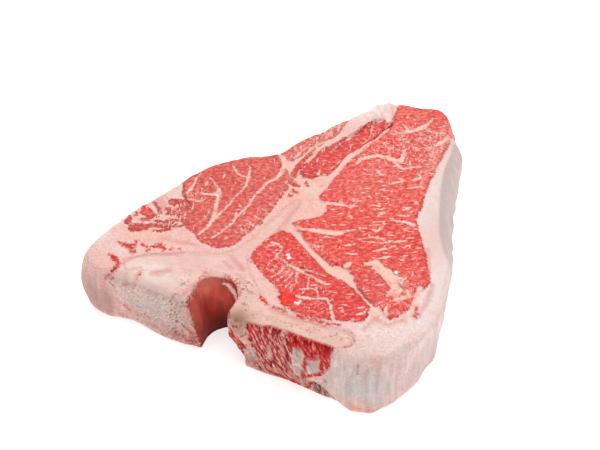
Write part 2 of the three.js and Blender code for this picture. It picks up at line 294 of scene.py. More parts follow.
# %% Veins of fat
TENDERLOIN_VEINS = [
    [(-28, 22, 3), (-24.5, 15.5, 4.2), (-23.2, 9, 3.2), (-24.4, 2, 2.2), (-27.3, -1.5, 2), (-28.2, -8, 2),
     (-29.4, -14, 1.8), (-29.6, -21, 1.5), (-30.6, -30, 1.5), (-31, -38, 1.6), (-33, -45, 1.7),
     (-35, -49.5, 1.2)],
    [(-59.5, -9, 0.7), (-54, -12, 1), (-49.5, -15, 1.8), (-47, -19, 4), (-50, -21.5, 2.2), (-56, -23, 1.4)],
    [(-46, -20, 3), (-44.6, -26, 2.2), (-42.6, -32, 2.4), (-41, -38, 2.6), (-41, -44, 2.6), (-42, -50, 2)],
    [(-36.7, -7, 1.2), (-38, -14, 0.9), (-38, -22, 1.2), (-38.6, -30, 1.5), (-40.4, -37, 2.2)],
    [(-41, 7, 0.8), (-39.6, 3, 1.4), (-38.2, -1, 2.4), (-36.6, -6.5, 1.8)],
    [(-38.8, -1.2, 1.8), (-43, -1.6, 1.5), (-45.6, -0.5, 1.2), (-48, 2, 1.8), (-49.8, 3.6, 0.8)],
    [(-62.5, -10, 1), (-62, -16, 1.6), (-61.4, -22, 1.8), (-62.5, -26, 1.8)],
    [(-59, -29.6, 1.6), (-55, -29, 1.8), (-52, -27.5, 1.5), (-50.5, -24.5, 1.2)],
    [(-45.4, -33, 0.8), (-44.8, -40, 0.8)],
    [(-14, 8, 1.4), (-18, 9, 0.9)],
    [(-14, 2, 1.6), (-18.6, 3, 1)],
    [(-14.4, -4, 1.2), (-18, -3, 1)],
    [(-15, -10, 1.4), (-19, -9, 0.8)],
    [(-16, -16, 1.4), (-19.6, -15, 1)],
    [(-17, -22, 1.6), (-21, -20, 1)],
    [(-18.6, -28, 1.4), (-22, -27, 1)],
    [(-19.6, -34, 1.6), (-23.6, -32, 1)],
    [(-21, -39, 1.4), (-25, -38, 1)],
    [(-26, -36, 1.6)], [(-28.5, -46.5, 2.2)], [(-25.5, -41, 1.6)], [(-33, -22.5, 1.7)], [(-36.5, 8, 1.1)],
    [(-49.6, -32.5, 1.1)], [(-46, -42, 1)], [(-56.6, -19.6, 1.2)], [(-54, -33.5, 1)], [(-21, -43, 1.6)],
]
STRIP_VEINS = [
    [(-2, -25.5, 1.5), (5, -25.5, 3), (12, -23.6, 3.6), (18, -21.6, 4.4), (22.5, -20, 3.6), (25, -17, 2),
     (28.5, -15, 0.9)],
    [(30, -12.6, 1.8), (33, -11.4, 1.4)],
    [(1, -3.6, 2), (6, -3, 3.2), (12, -1.6, 2.8), (18, -0.8, 2), (21.6, -0.5, 1.4), (22, 4, 1.8),
     (20, 5, 2.4), (25, 5.4, 1.6)],
    [(30, 5.6, 1.7), (34, 6.6, 2)],
    [(13.6, 0.5, 1), (14, 3, 0.8)],
    [(44, 3.4, 0.9), (50.5, 5.8, 1)],
    [(46, -1, 1.2), (50, 1, 2.4), (55, 0.6, 3)],
    [(38.5, 2, 1.8)], [(53, -9.5, 1.8)], [(47.6, -50, 2.2)], [(40, -7, 1.6)], [(16, -29, 2)],
    [(18, -32.4, 1.6)],
    [(39, -11, 2.6), (41, -8.6, 1.6)],
    [(44, -18.6, 1.1), (49, -14.4, 1.5)],
    [(42.5, -34.5, 2.6), (46.5, -32, 5), (51, -35, 7.4), (56, -37.6, 8.6), (61, -41, 9), (63, -45, 7.6),
     (61.6, -48.5, 5), (60, -51, 2.4)],
    [(58, -34.5, 2.4), (63, -37, 3)],
    [(36, -37.6, 2.4), (34.6, -40.5, 4)],
    [(73, -38.5, 2.4), (73.6, -45, 3.6), (73.8, -51, 3.4), (74, -56, 1.6)],
    [(64.5, -52, 2.6), (67.5, -49, 3.4), (70, -46.5, 2.6), (68, -43.5, 2)],
    [(62, -58, 1.6), (63.5, -62, 2.6)],
    [(-2.4, -28.6, 1.4), (4, -30, 1.8), (8.6, -33.4, 2), (13, -37.4, 2.6), (18, -40.6, 3), (23, -43.4, 3.6),
     (28, -46, 5.4), (33, -45.4, 7.4), (38, -47, 4.6), (42, -50, 1.6), (48, -54.6, 1.5), (54, -58.6, 1.8),
     (59, -61, 3)],
    [(10.6, -33.8, 1), (16.6, -34.6, 1.6), (19, -33, 0.8)],
    [(11, 32, 1.4), (11.6, 36.6, 3), (15, 40.4, 3), (19, 42.8, 3.6), (24, 43.8, 4), (29, 42.6, 4.6),
     (32, 45, 3.6), (32, 49, 3.4), (30.6, 53.4, 2)],
    [(31, 41, 3), (35, 39.2, 1.8), (39, 42, 1.8), (43.4, 44.8, 1.6)],
    [(43.8, 33, 2.2), (46.4, 36.6, 2), (43.6, 39, 1.2)],
    [(24.6, 31, 3.2), (27, 29.6, 1.2)],
    [(5.6, 39, 1.4), (9.6, 49, 1.6), (13.4, 60, 1.4), (16, 67, 1)],
    [(33.6, 25.4, 2.4), (37.5, 28.5, 1.6), (40, 30.6, 1)],
    [(42.6, 25.4, 1.7), (47.6, 27.6, 1.3)],
    [(23, 51.4, 1.8), (25, 52.8, 1)],
    [(20, 63, 1.6), (24, 66.4, 2.4), (27, 69.6, 3.8), (31, 73.6, 3.2), (34, 77.4, 4.4), (35.4, 81, 2.2),
     (36, 86, 1.2)],
    [(24, 73.4, 2), (27, 70.6, 2.4)],
    [(22.6, 81.6, 2.4)], [(27, 81, 2)], [(30.4, 60.6, 2.6)], [(42.6, 60.6, 2.6)], [(33, 92, 1.6)],
    [(45, 62, 1.2), (47, 67, 3), (49.6, 74, 3.6)],
    [(36, 75.6, 1.2), (41.5, 74.2, 1.4), (46.5, 75.4, 1.2)],
    [(43.4, 80.5, 1.4), (45.4, 84, 1.4), (43, 87, 1)],
]
INNER_STRIP_VEINS = [
    [(4.6, -49.4, 1.2), (8, -51, 1.7), (13, -51.5, 3.2), (17, -52.5, 2.2), (22, -54, 1.8), (27, -55, 1.9),
     (30, -55.6, 2.8), (32.4, -54.4, 1)],
    [(16, -50.4, 1.4), (22, -50.4, 0.9), (28, -51, 0.7)],
    [(6.6, -52.6, 1.7), (6, -58, 1.3), (4, -62.4, 1)],
    [(9.4, -54, 1.1), (8.8, -59, 1.1), (7.4, -63, 0.9)],
    [(12, -54.5, 1.3), (11.4, -60, 1.1), (10.4, -65, 0.9)],
    [(14, -53.6, 1.5), (15, -58, 1.3), (17, -61, 1.1), (15.6, -65, 1.1), (16.6, -68, 0.9)],
    [(20.6, -55, 0.9), (23, -60.4, 0.9)],
    [(20, -64, 0.9), (25, -61, 1.1), (27.4, -60.2, 1.5), (29.6, -63, 1.1), (31, -65.4, 0.9)],
    [(-5.6, -40, 2.4), (-1, -40.6, 2), (0.6, -44, 1.3), (-0.2, -48.4, 1.3), (4.6, -49.4, 1.2)],
    [(-4.4, -41, 1.3), (-6.4, -45, 1)],
    [(-1, -33, 1), (0.4, -36, 1)],
    [(5.6, -45, 2.6)], [(44, -68.5, 2.8)], [(33, -68, 1.3)], [(46.6, -69.6, 1.4)],
    [(18, -69, 1.5), (22, -68.6, 2), (26, -67.6, 2.2), (30, -65.8, 1.5), (34.6, -64.4, 1.7),
     (37.6, -67.6, 2.1), (40, -71.4, 2.1), (42.6, -75.4, 2)],
    [(22.6, -73.6, 2.6), (24, -70.4, 2.4)],
    [(50, -62.6, 1.7), (52.4, -61.4, 1.2)],
    [(51.6, -67.4, 1.5), (54, -65.4, 2), (54.4, -62.6, 1)],
]
FLANK_VEINS = [
    [(7.8, 38.5, 0.9), (10.8, 48, 1), (14.2, 58, 1.1), (16.8, 66, 1.1)],
    [(5, 38, 1.8), (4, 32, 2.4), (2.8, 26, 3), (2, 19, 3)],
    [(-19.6, 21, 1.8), (-18, 30, 1.3), (-15.4, 37, 1.3), (-11, 45, 1.6)],
    [(-23, 24, 1.6), (-21.6, 31, 1), (-19, 38, 0.9)],
    [(-14.6, 24, 1.4), (-13.6, 33, 1.2), (-10.6, 42, 1.8), (-6, 50, 2.6)],
    [(0.6, 33, 0.9), (-1.6, 24, 0.9)],
    [(1.4, 49, 0.8), (2.6, 40, 0.8)],
    [(-4.6, 47, 1), (-6.4, 38, 0.7)],
    [(-6, 21, 1.4), (-5.2, 17.4, 1.8)],
    [(6.6, 69, 1), (8.6, 60, 0.8), (7, 52, 0.8)],
    [(-10.6, 60.6, 2), (-9, 55, 1.6)],
    [(-13, 53, 0.9), (-10.6, 49.6, 1.4)],
    [(-19, 46, 0.9), (-15.6, 40, 1)],
    [(-15.6, 52, 0.8), (-13, 46, 0.8)],
]
VEINS = TENDERLOIN_VEINS + STRIP_VEINS + INNER_STRIP_VEINS + FLANK_VEINS
print(len(VEINS), "veins of fat")

# %% [markdown]
# ### Blood, slips of lean and fine lines
# Where the skinning knife nicked a small muscle, red spots show in the fat. Thin slips of lean lie in the
# seams, and painted highlights stand for the glint of a moist spot here and there. Creases are deep lines
# where two skins meet without fat between them, darkened with painted shade, and one slit stands open
# along the tail, filled with painted shade. Faint pink lines are stained fat. The lists that start with
# FRONT are drawn on the upright front, as (x, z, width).

# %% Blood, slips of lean and fine lines
BLOOD = [
    [(-76, -72.6, 1.6), (-73, -73, 2.6), (-70, -73, 3), (-66.4, -75.2, 1.6)],
    [(-68.6, -68, 1.4), (-68, -71.4, 1.4)],
    [(-65.4, -68.4, 1.2), (-63, -69.6, 1)],
    [(-60.6, -71, 1.6)],
    [(-59.6, -67.8, 1.8), (-56.6, -65.6, 3.2), (-53.8, -67.2, 2.4)],
    [(-50, -65.5, 2.2)],
    [(-46, -64, 1.2)],
    [(-76.4, -81.2, 1.6), (-73, -82.6, 3.2), (-70.4, -84.2, 1.6)],
    [(-13.6, 4.6, 3), (-11, 4, 2)],
    [(-12.6, -0.6, 2.4), (-10, -1, 2)],
    [(-8, 8, 1.8), (-6.6, 7, 1.4)],
    [(-12, -4.6, 1.8)],
    [(-17.6, -28.4, 1.8), (-17.4, -31, 1)],
    [(-23.6, -47, 3)],
    [(4, -75.4, 1.6), (6.4, -77, 2), (9.2, -78.8, 1.2)],
    [(13, -79, 1.3), (19.4, -79.2, 1.1)],
    [(26, -79.8, 0.9), (33, -79.6, 1), (41, -78.6, 1), (46, -76.6, 0.9)],
    [(27, -42.2, 1), (33, -39.6, 1.2)],
    [(75.6, -51.4, 1.2), (76.4, -56.4, 1.4)],
    [(13, -72, 3), (17.5, -72.4, 9)],
]
# Painted highlights: near-white spots that stand for glints on moist places.
GLINTS = [
    [(4.8, -44.4, 1.4), (6.4, -46.6, 2)],
    [(21.6, -73, 1.4), (23.6, -71.6, 1.2)],
    [(27.6, -67.6, 1.2)],
    [(57.6, -33.4, 1.4), (59.4, -34, 1.2)],
    [(-47.6, -20.4, 1.6)],
    [(-71, -53.6, 1)],
]
SLIPS_OF_LEAN = [
    [(-15.6, 5, 2), (-17.2, 14, 3.6), (-17.6, 24, 3), (-16, 33, 2.4), (-12.8, 41, 1.8)],
    [(-12.8, 27, 2), (-11, 35, 2.2), (-7.4, 43, 2)],
    [(5.4, 42, 3), (8.6, 52, 3), (11.6, 62, 3), (14, 70.6, 2.6)],
    [(-1, -30, 2.4), (2.4, -33.6, 1.8)],
    [(-7.6, 44, 2), (-3.4, 51, 1.6)],
    [(0.6, 51, 4), (2.6, 57, 4), (4.8, 63, 3.8), (7.6, 68.4, 3.2), (12, 71.6, 2.8)],
    [(-57, -33, 5), (-55, -39, 6), (-53.4, -44.4, 5), (-50, -48.6, 3.4)],
    [(-1.5, -31.4, 3), (2, -33.6, 5), (6, -36.8, 6), (10, -39.6, 5.4), (15, -42.6, 4),
     (20, -45, 3), (26, -47.6, 2)],
    [(6, -28, 2.4), (10, -31.6, 3), (15, -35.6, 4), (20, -38.4, 3), (27, -41.4, 1.6)],
    [(42, -46.6, 3), (47, -50.6, 4), (52, -54.6, 4), (57, -57.6, 3)],
    [(36, -50.4, 2), (42, -53.6, 4), (48, -57.4, 4), (54, -61, 3)],
]
# The slit sinks in, and its dark colour is painted shade inside it.
SLIT = [(10.6, 54.6, 0.4), (12, 59, 0.9), (14, 65.4, 1.2), (16.6, 70, 1.3), (17.4, 71.4, 0.7)]
BLUSH = [
    [(8.2, 77.4, 0.4), (10, 72.8, 0.8)],
    [(0.6, 70.4, 0.7), (3, 68.6, 0.7)],
    [(4, 82, 0.7), (5.6, 79, 0.5)],
    [(11.6, 84.6, 0.4), (14.6, 79, 0.6), (15.4, 75.4, 0.8)],
    [(-76, -36, 4), (-70, -38, 4), (-68, -43, 3)],
    [(75, -51, 4), (76.4, -56, 5)],
    [(-12, -56, 1), (-10, -44, 1.4), (-8, -30, 1.6), (-6, -16, 1.4), (-4.6, -6, 0.6)],
    [(-8.6, -48, 0.6), (-6.6, -34, 0.8), (-5, -20, 0.6)],
    [(67, -12, 1), (72, -24, 1.4), (75.4, -35, 1.2)],
    [(-30, -89, 3), (-28.4, -82, 2.4), (-26.4, -76.4, 1.4)],
    [(-27, -74, 1), (-22, -70.4, 0.8), (-16, -69.4, 0.8), (-11, -71, 0.8), (-7, -76, 0.8),
     (-4.8, -84, 0.8)],
    [(-71, -90, 1.4), (-68, -80.6, 1.6), (-62, -75.8, 1.6), (-53, -70.4, 1.2), (-44, -65.6, 0.8)],
    [(-60, -61, 1), (-52, -60.4, 1.4), (-44, -58.2, 3), (-38, -57.4, 1.4)],
    [(-28, -73, 2), (-22, -70.6, 1.4), (-15, -70, 1.6), (-8, -75, 2), (-5, -83, 1.6)],
    [(12, -80.6, 1.6), (26, -81.4, 2), (40, -80.6, 1.6)],
    [(57, -74, 2), (60, -66, 2.6), (66, -67.6, 2), (72, -62, 2)],
    [(77, -34, 2.4), (78.6, -44, 3), (78, -56, 2)],
    [(-72, -36, 2), (-76, -33, 2)],
    [(-21, -57, 2), (-17, -59, 3), (-12, -62, 3)],
    [(-22, -62, 1.6), (-17, -64.6, 2)],
    [(-13, -66.6, 1.4), (-8, -68, 1.4)],
    [(47.6, -77.8, 0.8), (51, -78.2, 1.4), (54.6, -80.6, 1.4), (55.8, -84, 1.4), (53, -88.4, 1.4)],
    [(-66, -78, 1), (-67.6, -84, 1.2), (-63, -87, 1), (-58, -82, 0.8)],
    [(-50, -84, 3), (-44, -79, 3)],
]
FRONT_CLOTS = [
    [(-69, 36, 1.6), (-70.4, 34.6, 1)],
    [(-72.6, 31, 1.3), (-73.4, 29.4, 0.8)],
    [(-69.6, 31.6, 0.9)], [(-70.6, 29, 0.8)], [(-69.4, 27.4, 1.1)], [(-71.4, 33, 0.7)],
    [(-64.8, 14.8, 1.3)], [(-71.4, 9, 0.8)], [(-56, 35.4, 0.9)], [(-61, 30.6, 0.7)],
]
FRONT_BLUSH = [
    [(-67, 14.6, 1.6), (-60, 11.6, 4), (-51, 10.4, 2.4)],
    [(-68, 9.8, 0.6), (-60, 8.4, 0.8), (-52, 6.6, 0.8), (-46, 6, 0.6)],
    [(-38, 6, 1.4), (-32, 4.6, 1.6), (-25, 5, 2)],
    [(-30, 14.8, 2), (-25, 10.4, 2.4), (-23, 16, 2), (-24, 26, 2), (-27, 31, 1.6)],
    [(-62.4, 35, 0.8), (-61, 30, 1.2)],
    [(-57, 36, 0.8), (-56.6, 31, 1.2)],
    [(-75, 28, 1.4), (-73, 22, 1)],
    [(-73, 12, 1.6), (-69, 8.6, 1.8)],
    [(60, 7, 2.2), (64.6, 3, 2.6)],
    [(68, 2, 1.8), (71, 1.6, 2)],
    [(66.6, 31, 0.6), (66.2, 23, 0.8)],
    [(71, 34, 0.6), (71.6, 27, 0.6)],
    [(52, 21, 1.2), (52.4, 19, 0.6)],
    [(76.4, 31, 1.4), (77, 26, 0.8)],
]
# Painted shade in the small creases and cracks of the saw cut.
FRONT_CREASES = [
    [(-53.4, 13.4, 0.5), (-50, 10.8, 0.5)],
    [(-63, 12.8, 0.6), (-61.6, 11.6, 0.6)],
    [(-33.8, 17.6, 0.9), (-33.6, 16.4, 0.9)],
    [(-30.4, 15.2, 0.8), (-28.6, 13.4, 0.6), (-26, 11, 0.9)],
    [(-29.4, 32.6, 0.5), (-29.4, 30, 0.5)],
    [(-25.4, 4.6, 0.6), (-30, 4.4, 0.7)],
    [(-68.6, 23, 0.5), (-65.4, 20.4, 0.4)],
    [(40.4, 8.8, 0.5), (44, 7.6, 0.5), (47.6, 5, 0.8), (51.6, 1.8, 1)],
    [(35.6, 10, 1)],
    [(62.4, 34, 0.3), (62.8, 29, 0.4)],
    [(78, 27, 0.4), (78.4, 22, 0.6)],
]
# Creases of the cut face: the relief sinks them, and their dark colour is painted shade.
CREASES = [
    [(45, -51.4, 1), (49, -54.2, 1.3), (53.4, -57.4, 1), (57, -59, 0.7)],
    [(-66.4, -22, 0.8), (-64, -27, 1), (-60, -30.4, 1), (-57, -32.6, 0.8)],
    [(16.6, 79.6, 0.7), (15.6, 75, 0.9)],
    [(56.4, -32.6, 1.2), (58, -35, 0.9), (61.4, -35.2, 0.9)],
    [(62.6, -40, 1), (66, -43.4, 1)],
    [(14.6, -49.4, 1.4), (16.4, -49.8, 1.4)],
    [(18, -52, 0.9), (20, -52.2, 0.9)],
    [(24.6, -70.4, 1.2), (26, -70.2, 1)],
    [(-9.8, 55, 0.8), (-10.4, 51, 0.8)],
    [(-8.6, 10, 1), (-7.4, 8.6, 0.8)],
    [(-5.4, 15.6, 1.2)], [(23.4, 43.6, 1)], [(-0.6, 9.6, 0.8)],
    [(52.6, -78.4, 0.1), (55.2, -80.6, 0.2), (56.2, -84, 0.3), (54.4, -87.4, 0.3), (51, -89.4, 0.2)],
]
print(len(BLOOD), "blood spots,", len(SLIPS_OF_LEAN), "slips of lean,", len(CREASES), "creases")

# %% [markdown]
# ### The thin side muscle
# Beside the tenderloin lies a thin, much torn muscle. On the cut face only dark shreds of it show between
# strips of fat, so it is drawn shred by shred instead of as one area.

# %% Shreds of the side muscle
SHREDS = [
    [(-66.5, -35.5, 4), (-62, -35, 7), (-56, -34, 7), (-52, -35, 7)],
    [(-66, -41, 3), (-62, -40.5, 6), (-56, -40, 7), (-51, -40, 7)],
    [(-64.6, -43.5, 2.4), (-62, -42.6, 3)],
    [(-55, -44, 3), (-51, -46, 5)],
    [(-75.5, -39, 1.6), (-71, -41.4, 2.2), (-68, -45, 1.6)],
    [(-78, -43.6, 3.4), (-76, -46, 6), (-72, -47.6, 5), (-69, -47, 3)],
    [(-79.6, -48.5, 1.6), (-78.4, -51.5, 1.4)],
    [(-81, -53.6, 2.4), (-80, -57.4, 4)],
    [(-73.6, -52.4, 2.6), (-71.6, -51, 2)],
    [(-77, -59.6, 2.4), (-74.6, -60.6, 6), (-72, -57.4, 5), (-68, -54.6, 3), (-63, -52, 2.6),
     (-60, -50.4, 3)],
    [(-68, -50.6, 1.6), (-63.6, -49.2, 2), (-60.6, -47.6, 4), (-58, -45.6, 2.6)],
    [(-65, -57.6, 1.4), (-61, -55.4, 3.6), (-58, -53, 3), (-56.6, -49.4, 2)],
    [(-54, -50.6, 1.4), (-52.4, -47.6, 1.4)],
]
print(len(SHREDS), "shreds")

# %% [markdown]
# ## Depth inside a muscle
# The frame already holds the outline of each muscle. Slicing a copy of its solid at half height gives the
# outline as loose line segments, which is enough to tell how deep a point lies inside it: the distance is
# the nearest segment's, and a ray that crosses the outline an odd number of times starts inside.

# %% Outlines from the solids
def section(piece, height):
    """The walls of a solid at that height in mm, as rows of x0, y0, x1, y1."""
    points = read_points(piece)
    corners = np.empty(len(piece.data.polygons) * 3, dtype=int)
    piece.data.polygons.foreach_get("vertices", corners)
    faces = points[corners.reshape(-1, 3)]
    above = faces[:, :, 2] > height
    crossing = above.any(axis=1) & ~above.all(axis=1)
    faces, above = faces[crossing], above[crossing]
    lone = np.where(above.sum(axis=1) == 1, above.argmax(axis=1), (~above).argmax(axis=1))
    rows = np.arange(len(faces))
    start = faces[rows, lone]
    ends = []
    for step in (1, 2):
        other = faces[rows, (lone + step) % 3]
        share = ((height - start[:, 2]) / (other[:, 2] - start[:, 2]))[:, None]
        ends.append((start + share * (other - start))[:, :2])
    return np.hstack(ends)


def depth_inside(points, walls):
    """How deep in mm each point lies inside the walls, seen from above. Outside it is below zero."""
    depth = np.full(len(points), FAR)
    low = np.minimum(walls[:, :2].min(axis=0), walls[:, 2:].min(axis=0)) + FAR
    high = np.maximum(walls[:, :2].max(axis=0), walls[:, 2:].max(axis=0)) - FAR
    near = np.all((points[:, :2] > low) & (points[:, :2] < high), axis=1)
    x, y = points[near, 0], points[near, 1]
    nearest = np.full(len(x), -FAR)
    crossings = np.zeros(len(x), dtype=int)
    for x0, y0, x1, y1 in walls:
        dx, dy = x1 - x0, y1 - y0
        along = np.clip(((x - x0) * dx + (y - y0) * dy) / (dx * dx + dy * dy + 1e-9), 0, 1)
        nearest = np.minimum(nearest, np.hypot(x - x0 - along * dx, y - y0 - along * dy))
        straddles = (y0 > y) != (y1 > y)
        crossings += straddles & (x < x0 + (y - y0) * dx / (dy if dy else 1e-9))
    depth[near] = np.where(crossings % 2 == 1, nearest, -nearest)
    return depth


# %% [markdown]
# ## Butcher's knives
# Each inner piece is cut from the whole skin with a boolean. Its knife is a copy of the frame's solid that
# is made larger wherever it meets the air: its top and bottom are moved up and down, and its outer walls
# are moved outwards. A wall belongs to the outside if a short ray from it meets no other piece.

# %% Knives
OVER_THE_TOP = 6
UNDER_THE_BOTTOM = 3
PAST_THE_SIDE = 3
NEIGHBOUR_REACH = 4
CLEAR_OF_FACE = 0.05
FLAT = 0.7


def tree_of_others(node):
    """A search tree over the solids of all the other nodes."""
    points, faces = [], []
    for name, other in frame["nodes"].items():
        if name != node:
            start = len(points)
            points += [vertex.co for vertex in other.data.vertices]
            faces += [[start + index for index in face.vertices] for face in other.data.polygons]
    return BVHTree.FromPolygons(points, faces)


def knife_for(node):
    """A copy of the node's solid, moved outwards where it meets the air."""
    knife = copy_of_node(node, "knife_" + node)
    others = tree_of_others(node)
    sideways = [Vector((0, 0, 0)) for _ in knife.data.vertices]
    upwards = [0.0] * len(knife.data.vertices)
    for face in knife.data.polygons:
        if abs(face.normal.z) > FLAT:
            lift = OVER_THE_TOP if face.normal.z > 0 else -UNDER_THE_BOTTOM
            for index in face.vertices:
                upwards[index] = lift
            continue
        start = face.center + face.normal * CLEAR_OF_FACE * MM
        hit = others.ray_cast(start, face.normal, NEIGHBOUR_REACH * MM)
        if hit[0] is None:
            for index in face.vertices:
                sideways[index] += Vector((face.normal.x, face.normal.y, 0))
    for index, vertex in enumerate(knife.data.vertices):
        out = sideways[index]
        if out.length > 0:
            vertex.co += out.normalized() * PAST_THE_SIDE * MM
        vertex.co.z += upwards[index] * MM
    return knife


knives = {node: knife_for(node) for node in INNER_NODES}
outlines = {node: section(knife, THICKNESS / 2) for node, knife in knives.items()}
print("knives made:", {node: len(walls) for node, walls in outlines.items()})

# %% [markdown]
# ## Where each tissue lies
# One function gives, for any set of points, how deep they lie in lean, veins, bone and so on. All pieces
# ask the same function, so a colour that starts on one piece runs on over the seam onto the next. The
# places are shaken a little by smooth noise first, which makes every drawn line wander like a real one.
# The bone shows its sponge in front of the saw line. The spinal canal is a groove behind it, narrower at
# the top than at the bottom. The fat cap is trimmed beyond a line that runs down the right side.

# %% Tissue fields
MUSCLES = ["strip_eye", "inner_strip", "tenderloin", "outer_flank", "inner_flank"]
WANDER = ((0.45, 7), (0.3, 2.4))
SHAKE_SEED = 5
DRAWING_SHIFT = np.array([-0.7, 1.3, 0])
SHIFT_FROM_X = (-68, -46)
SHIFT_FROM_Y = (-82, -30)
VEIN_BREADTH = 0.8
SAW_LINE_X = [-83, -70, -28, -6, 6, 13, 17, 48, 56]
SAW_LINE_Y = [-93, -91, -91.6, -91.4, -91.6, -91.4, -89.6, -89.6, -91]
SAWN_FROM_X = [-28, -8, 5, 16]
SAWN_FROM_Z = [32, 34, 36.5, 38]
SAWN_SLOPE = 0.4
CANAL_LEFT = -27.6
CANAL_RIGHT_X = [4.2, 4.2, 0.8, -4.4, -5.2]
CANAL_RIGHT_Z = [0, 10, 15.5, 18, 36]
CANAL_BACK_Y = -70.2
CANAL_BELOW_TOP = 0.9
CANAL_ABOVE_BOTTOM = 0.4
CANAL_LOWER_EDGE = 6
CANAL_OVER_SAW = 0.6
SLIT_DEPTH = 5
FRONT_Y = -84
TRIM_Y = [-32, -18, -10, 0, 10, 20, 30, 40, 50, 60, 76]
TRIM_X = [91, 81, 75, 69.5, 66, 63, 60, 57.6, 56, 55.6, 54]
WALL_TOP = THICKNESS - 3.5
WALL_TOP_WANDER = 2
OUT_OF_SIGHT = 12


def shaken(points, seed):
    """The points moved by smooth noise of a few sizes, and onto the swollen cut face."""
    share = np.clip((points[:, 1] - SHIFT_FROM_Y[0]) / (SHIFT_FROM_Y[1] - SHIFT_FROM_Y[0]), 0, 1)
    share *= np.clip((points[:, 0] - SHIFT_FROM_X[0]) / (SHIFT_FROM_X[1] - SHIFT_FROM_X[0]), 0, 1)
    moved = points + share[:, None] * DRAWING_SHIFT
    for reach, size in WANDER:
        for axis in range(3):
            moved[:, axis] += reach * smooth_noise(points, size, seed + axis + int(size * 10))
    return moved


def tissue_fields(points):
    """The depth in mm inside each tissue at these points."""
    moved = shaken(points, SHAKE_SEED)
    depths = {node: depth_inside(moved, outlines[node]) for node in MUSCLES}
    side = depth_inside(moved, outlines["side_muscle"])
    wall_top = WALL_TOP + WALL_TOP_WANDER * smooth_noise(points * (1, 1, 0), 4, 91)
    on_wall = np.clip((wall_top - points[:, 2]) / 2, 0, 1)
    shreds = stroke_depth(moved, SHREDS)
    depths["side_muscle"] = np.maximum(shreds - on_wall * OUT_OF_SIGHT, side - (1 - on_wall) * OUT_OF_SIGHT)
    fields = dict(depths)
    slips = stroke_depth(moved, SLIPS_OF_LEAN)
    fields["lean"] = np.maximum(np.max(list(depths.values()), axis=0), slips)
    fields["vein"] = stroke_depth(moved, VEINS, breadth=VEIN_BREADTH)
    in_front = FRONT_Y - points[:, 1]
    for name, on_top, on_front in (
        ("blood", BLOOD, FRONT_CLOTS),
        ("crease", CREASES, FRONT_CREASES),
        ("blush", BLUSH, FRONT_BLUSH),
    ):
        front_depth = np.minimum(stroke_depth(moved, on_front, 0, 2), in_front)
        fields[name] = np.maximum(stroke_depth(moved, on_top), front_depth)
    fields["glint"] = stroke_depth(moved, GLINTS)
    fields["slit"] = np.minimum(stroke_depth(moved, [SLIT]), points[:, 2] - THICKNESS + SLIT_DEPTH)
    fields["bone"] = depth_inside(moved, outlines["bone"])
    saw_line = np.interp(points[:, 0], SAW_LINE_X, SAW_LINE_Y)
    grain_start = np.interp(points[:, 0], SAWN_FROM_X, SAWN_FROM_Z)
    fields["sawn"] = np.minimum(saw_line - points[:, 1], (grain_start - points[:, 2]) * SAWN_SLOPE)
    canal_right = np.interp(points[:, 2], CANAL_RIGHT_Z, CANAL_RIGHT_X)
    fields["canal"] = np.min([
        points[:, 0] - CANAL_LEFT,
        canal_right - points[:, 0],
        CANAL_BACK_Y - points[:, 1],
        points[:, 1] - saw_line + CANAL_OVER_SAW,
        THICKNESS - CANAL_BELOW_TOP - points[:, 2],
        (points[:, 2] - CANAL_ABOVE_BOTTOM) * CANAL_LOWER_EDGE,
    ], axis=0)
    fields["trimmed"] = points[:, 0] - np.interp(points[:, 1], TRIM_Y, TRIM_X)
    return fields


# %% [markdown]
# ## Relief of the cut face
# A knife cut through meat is never flat. Lean swells a little where the pull of the muscle is let go, the
# fat keeps lower, and the outer fat lies in soft upright folds. Creases and the slit sink in, the ridge of
# the tail is lumpy, and the upper face slopes down where the cap was trimmed. The saw breaks the front edge
# of the bone round. Last come a few soft pulls, such as a finger gives: each moves the points near a
# middle, within a reach. The underside stays flat, because the steak rests on it.

# %% Relief
LEAN_SWELL = 0.22
SWELL_WIDTH = 1.2
LUMPS = ((0.35, 13), (0.22, 5), (0.12, 2.2))
FOLD_HEIGHT = 0.8
FOLD_SIZE = np.array([6, 6, 30])
UPRIGHT_SHARPNESS = 1.4
RESTING_BAND = 1.5
CREASE_DROP = 0.25
SLIT_DROP = 3.2
GROOVE_EDGE = 0.4
RIDGE = ((4, 76, 36), (12, 14, 14))
RIDGE_LUMPS = 1.4
RIDGE_LUMP_SIZE = 5.5
TRIM_SLOPE = 0.4
TRIM_SLOPE_WIDTH = 7
TRIM_SLOPE_START_Y = -14
TRIM_SLOPE_RISE = 0.25
TRIM_SLOPE_START_Z = 20
TRIM_SLOPE_FADE = 10
PULLS = [
    ((53, 84, 20), (11, 12, EVERY_HEIGHT), (-3.6, -1.2, 0)),
    ((59, 74, 30), (6, 6, 15), (1.4, 0.8, 0)),
    ((-70, -14, 20), (10, 14, EVERY_HEIGHT), (1.4, -0.8, 0)),
    ((0, 93, 30), (10, 10, EVERY_HEIGHT), (0.6, -1.6, 0)),
    ((22, 96, 30), (13, 9, EVERY_HEIGHT), (0, -1.4, 0)),
    ((87, -36, 20), (10, 24, EVERY_HEIGHT), (-2, 0, 0)),
    ((-86, -86, 20), (9, 10, EVERY_HEIGHT), (-2.8, -0.6, 0)),
    ((-62, -93, 0), (12, 6, 5), (0, 3.4, 0)),
    ((71, -96, 0), (3.4, 6, 6), (0.4, -2.2, 0)),
]
EDGE_X = [-84, -70, -30, -6, 12, 46, 54]
EDGE_RADIUS = [1, 5, 4, 2, 1.2, 1.2, 0.5]


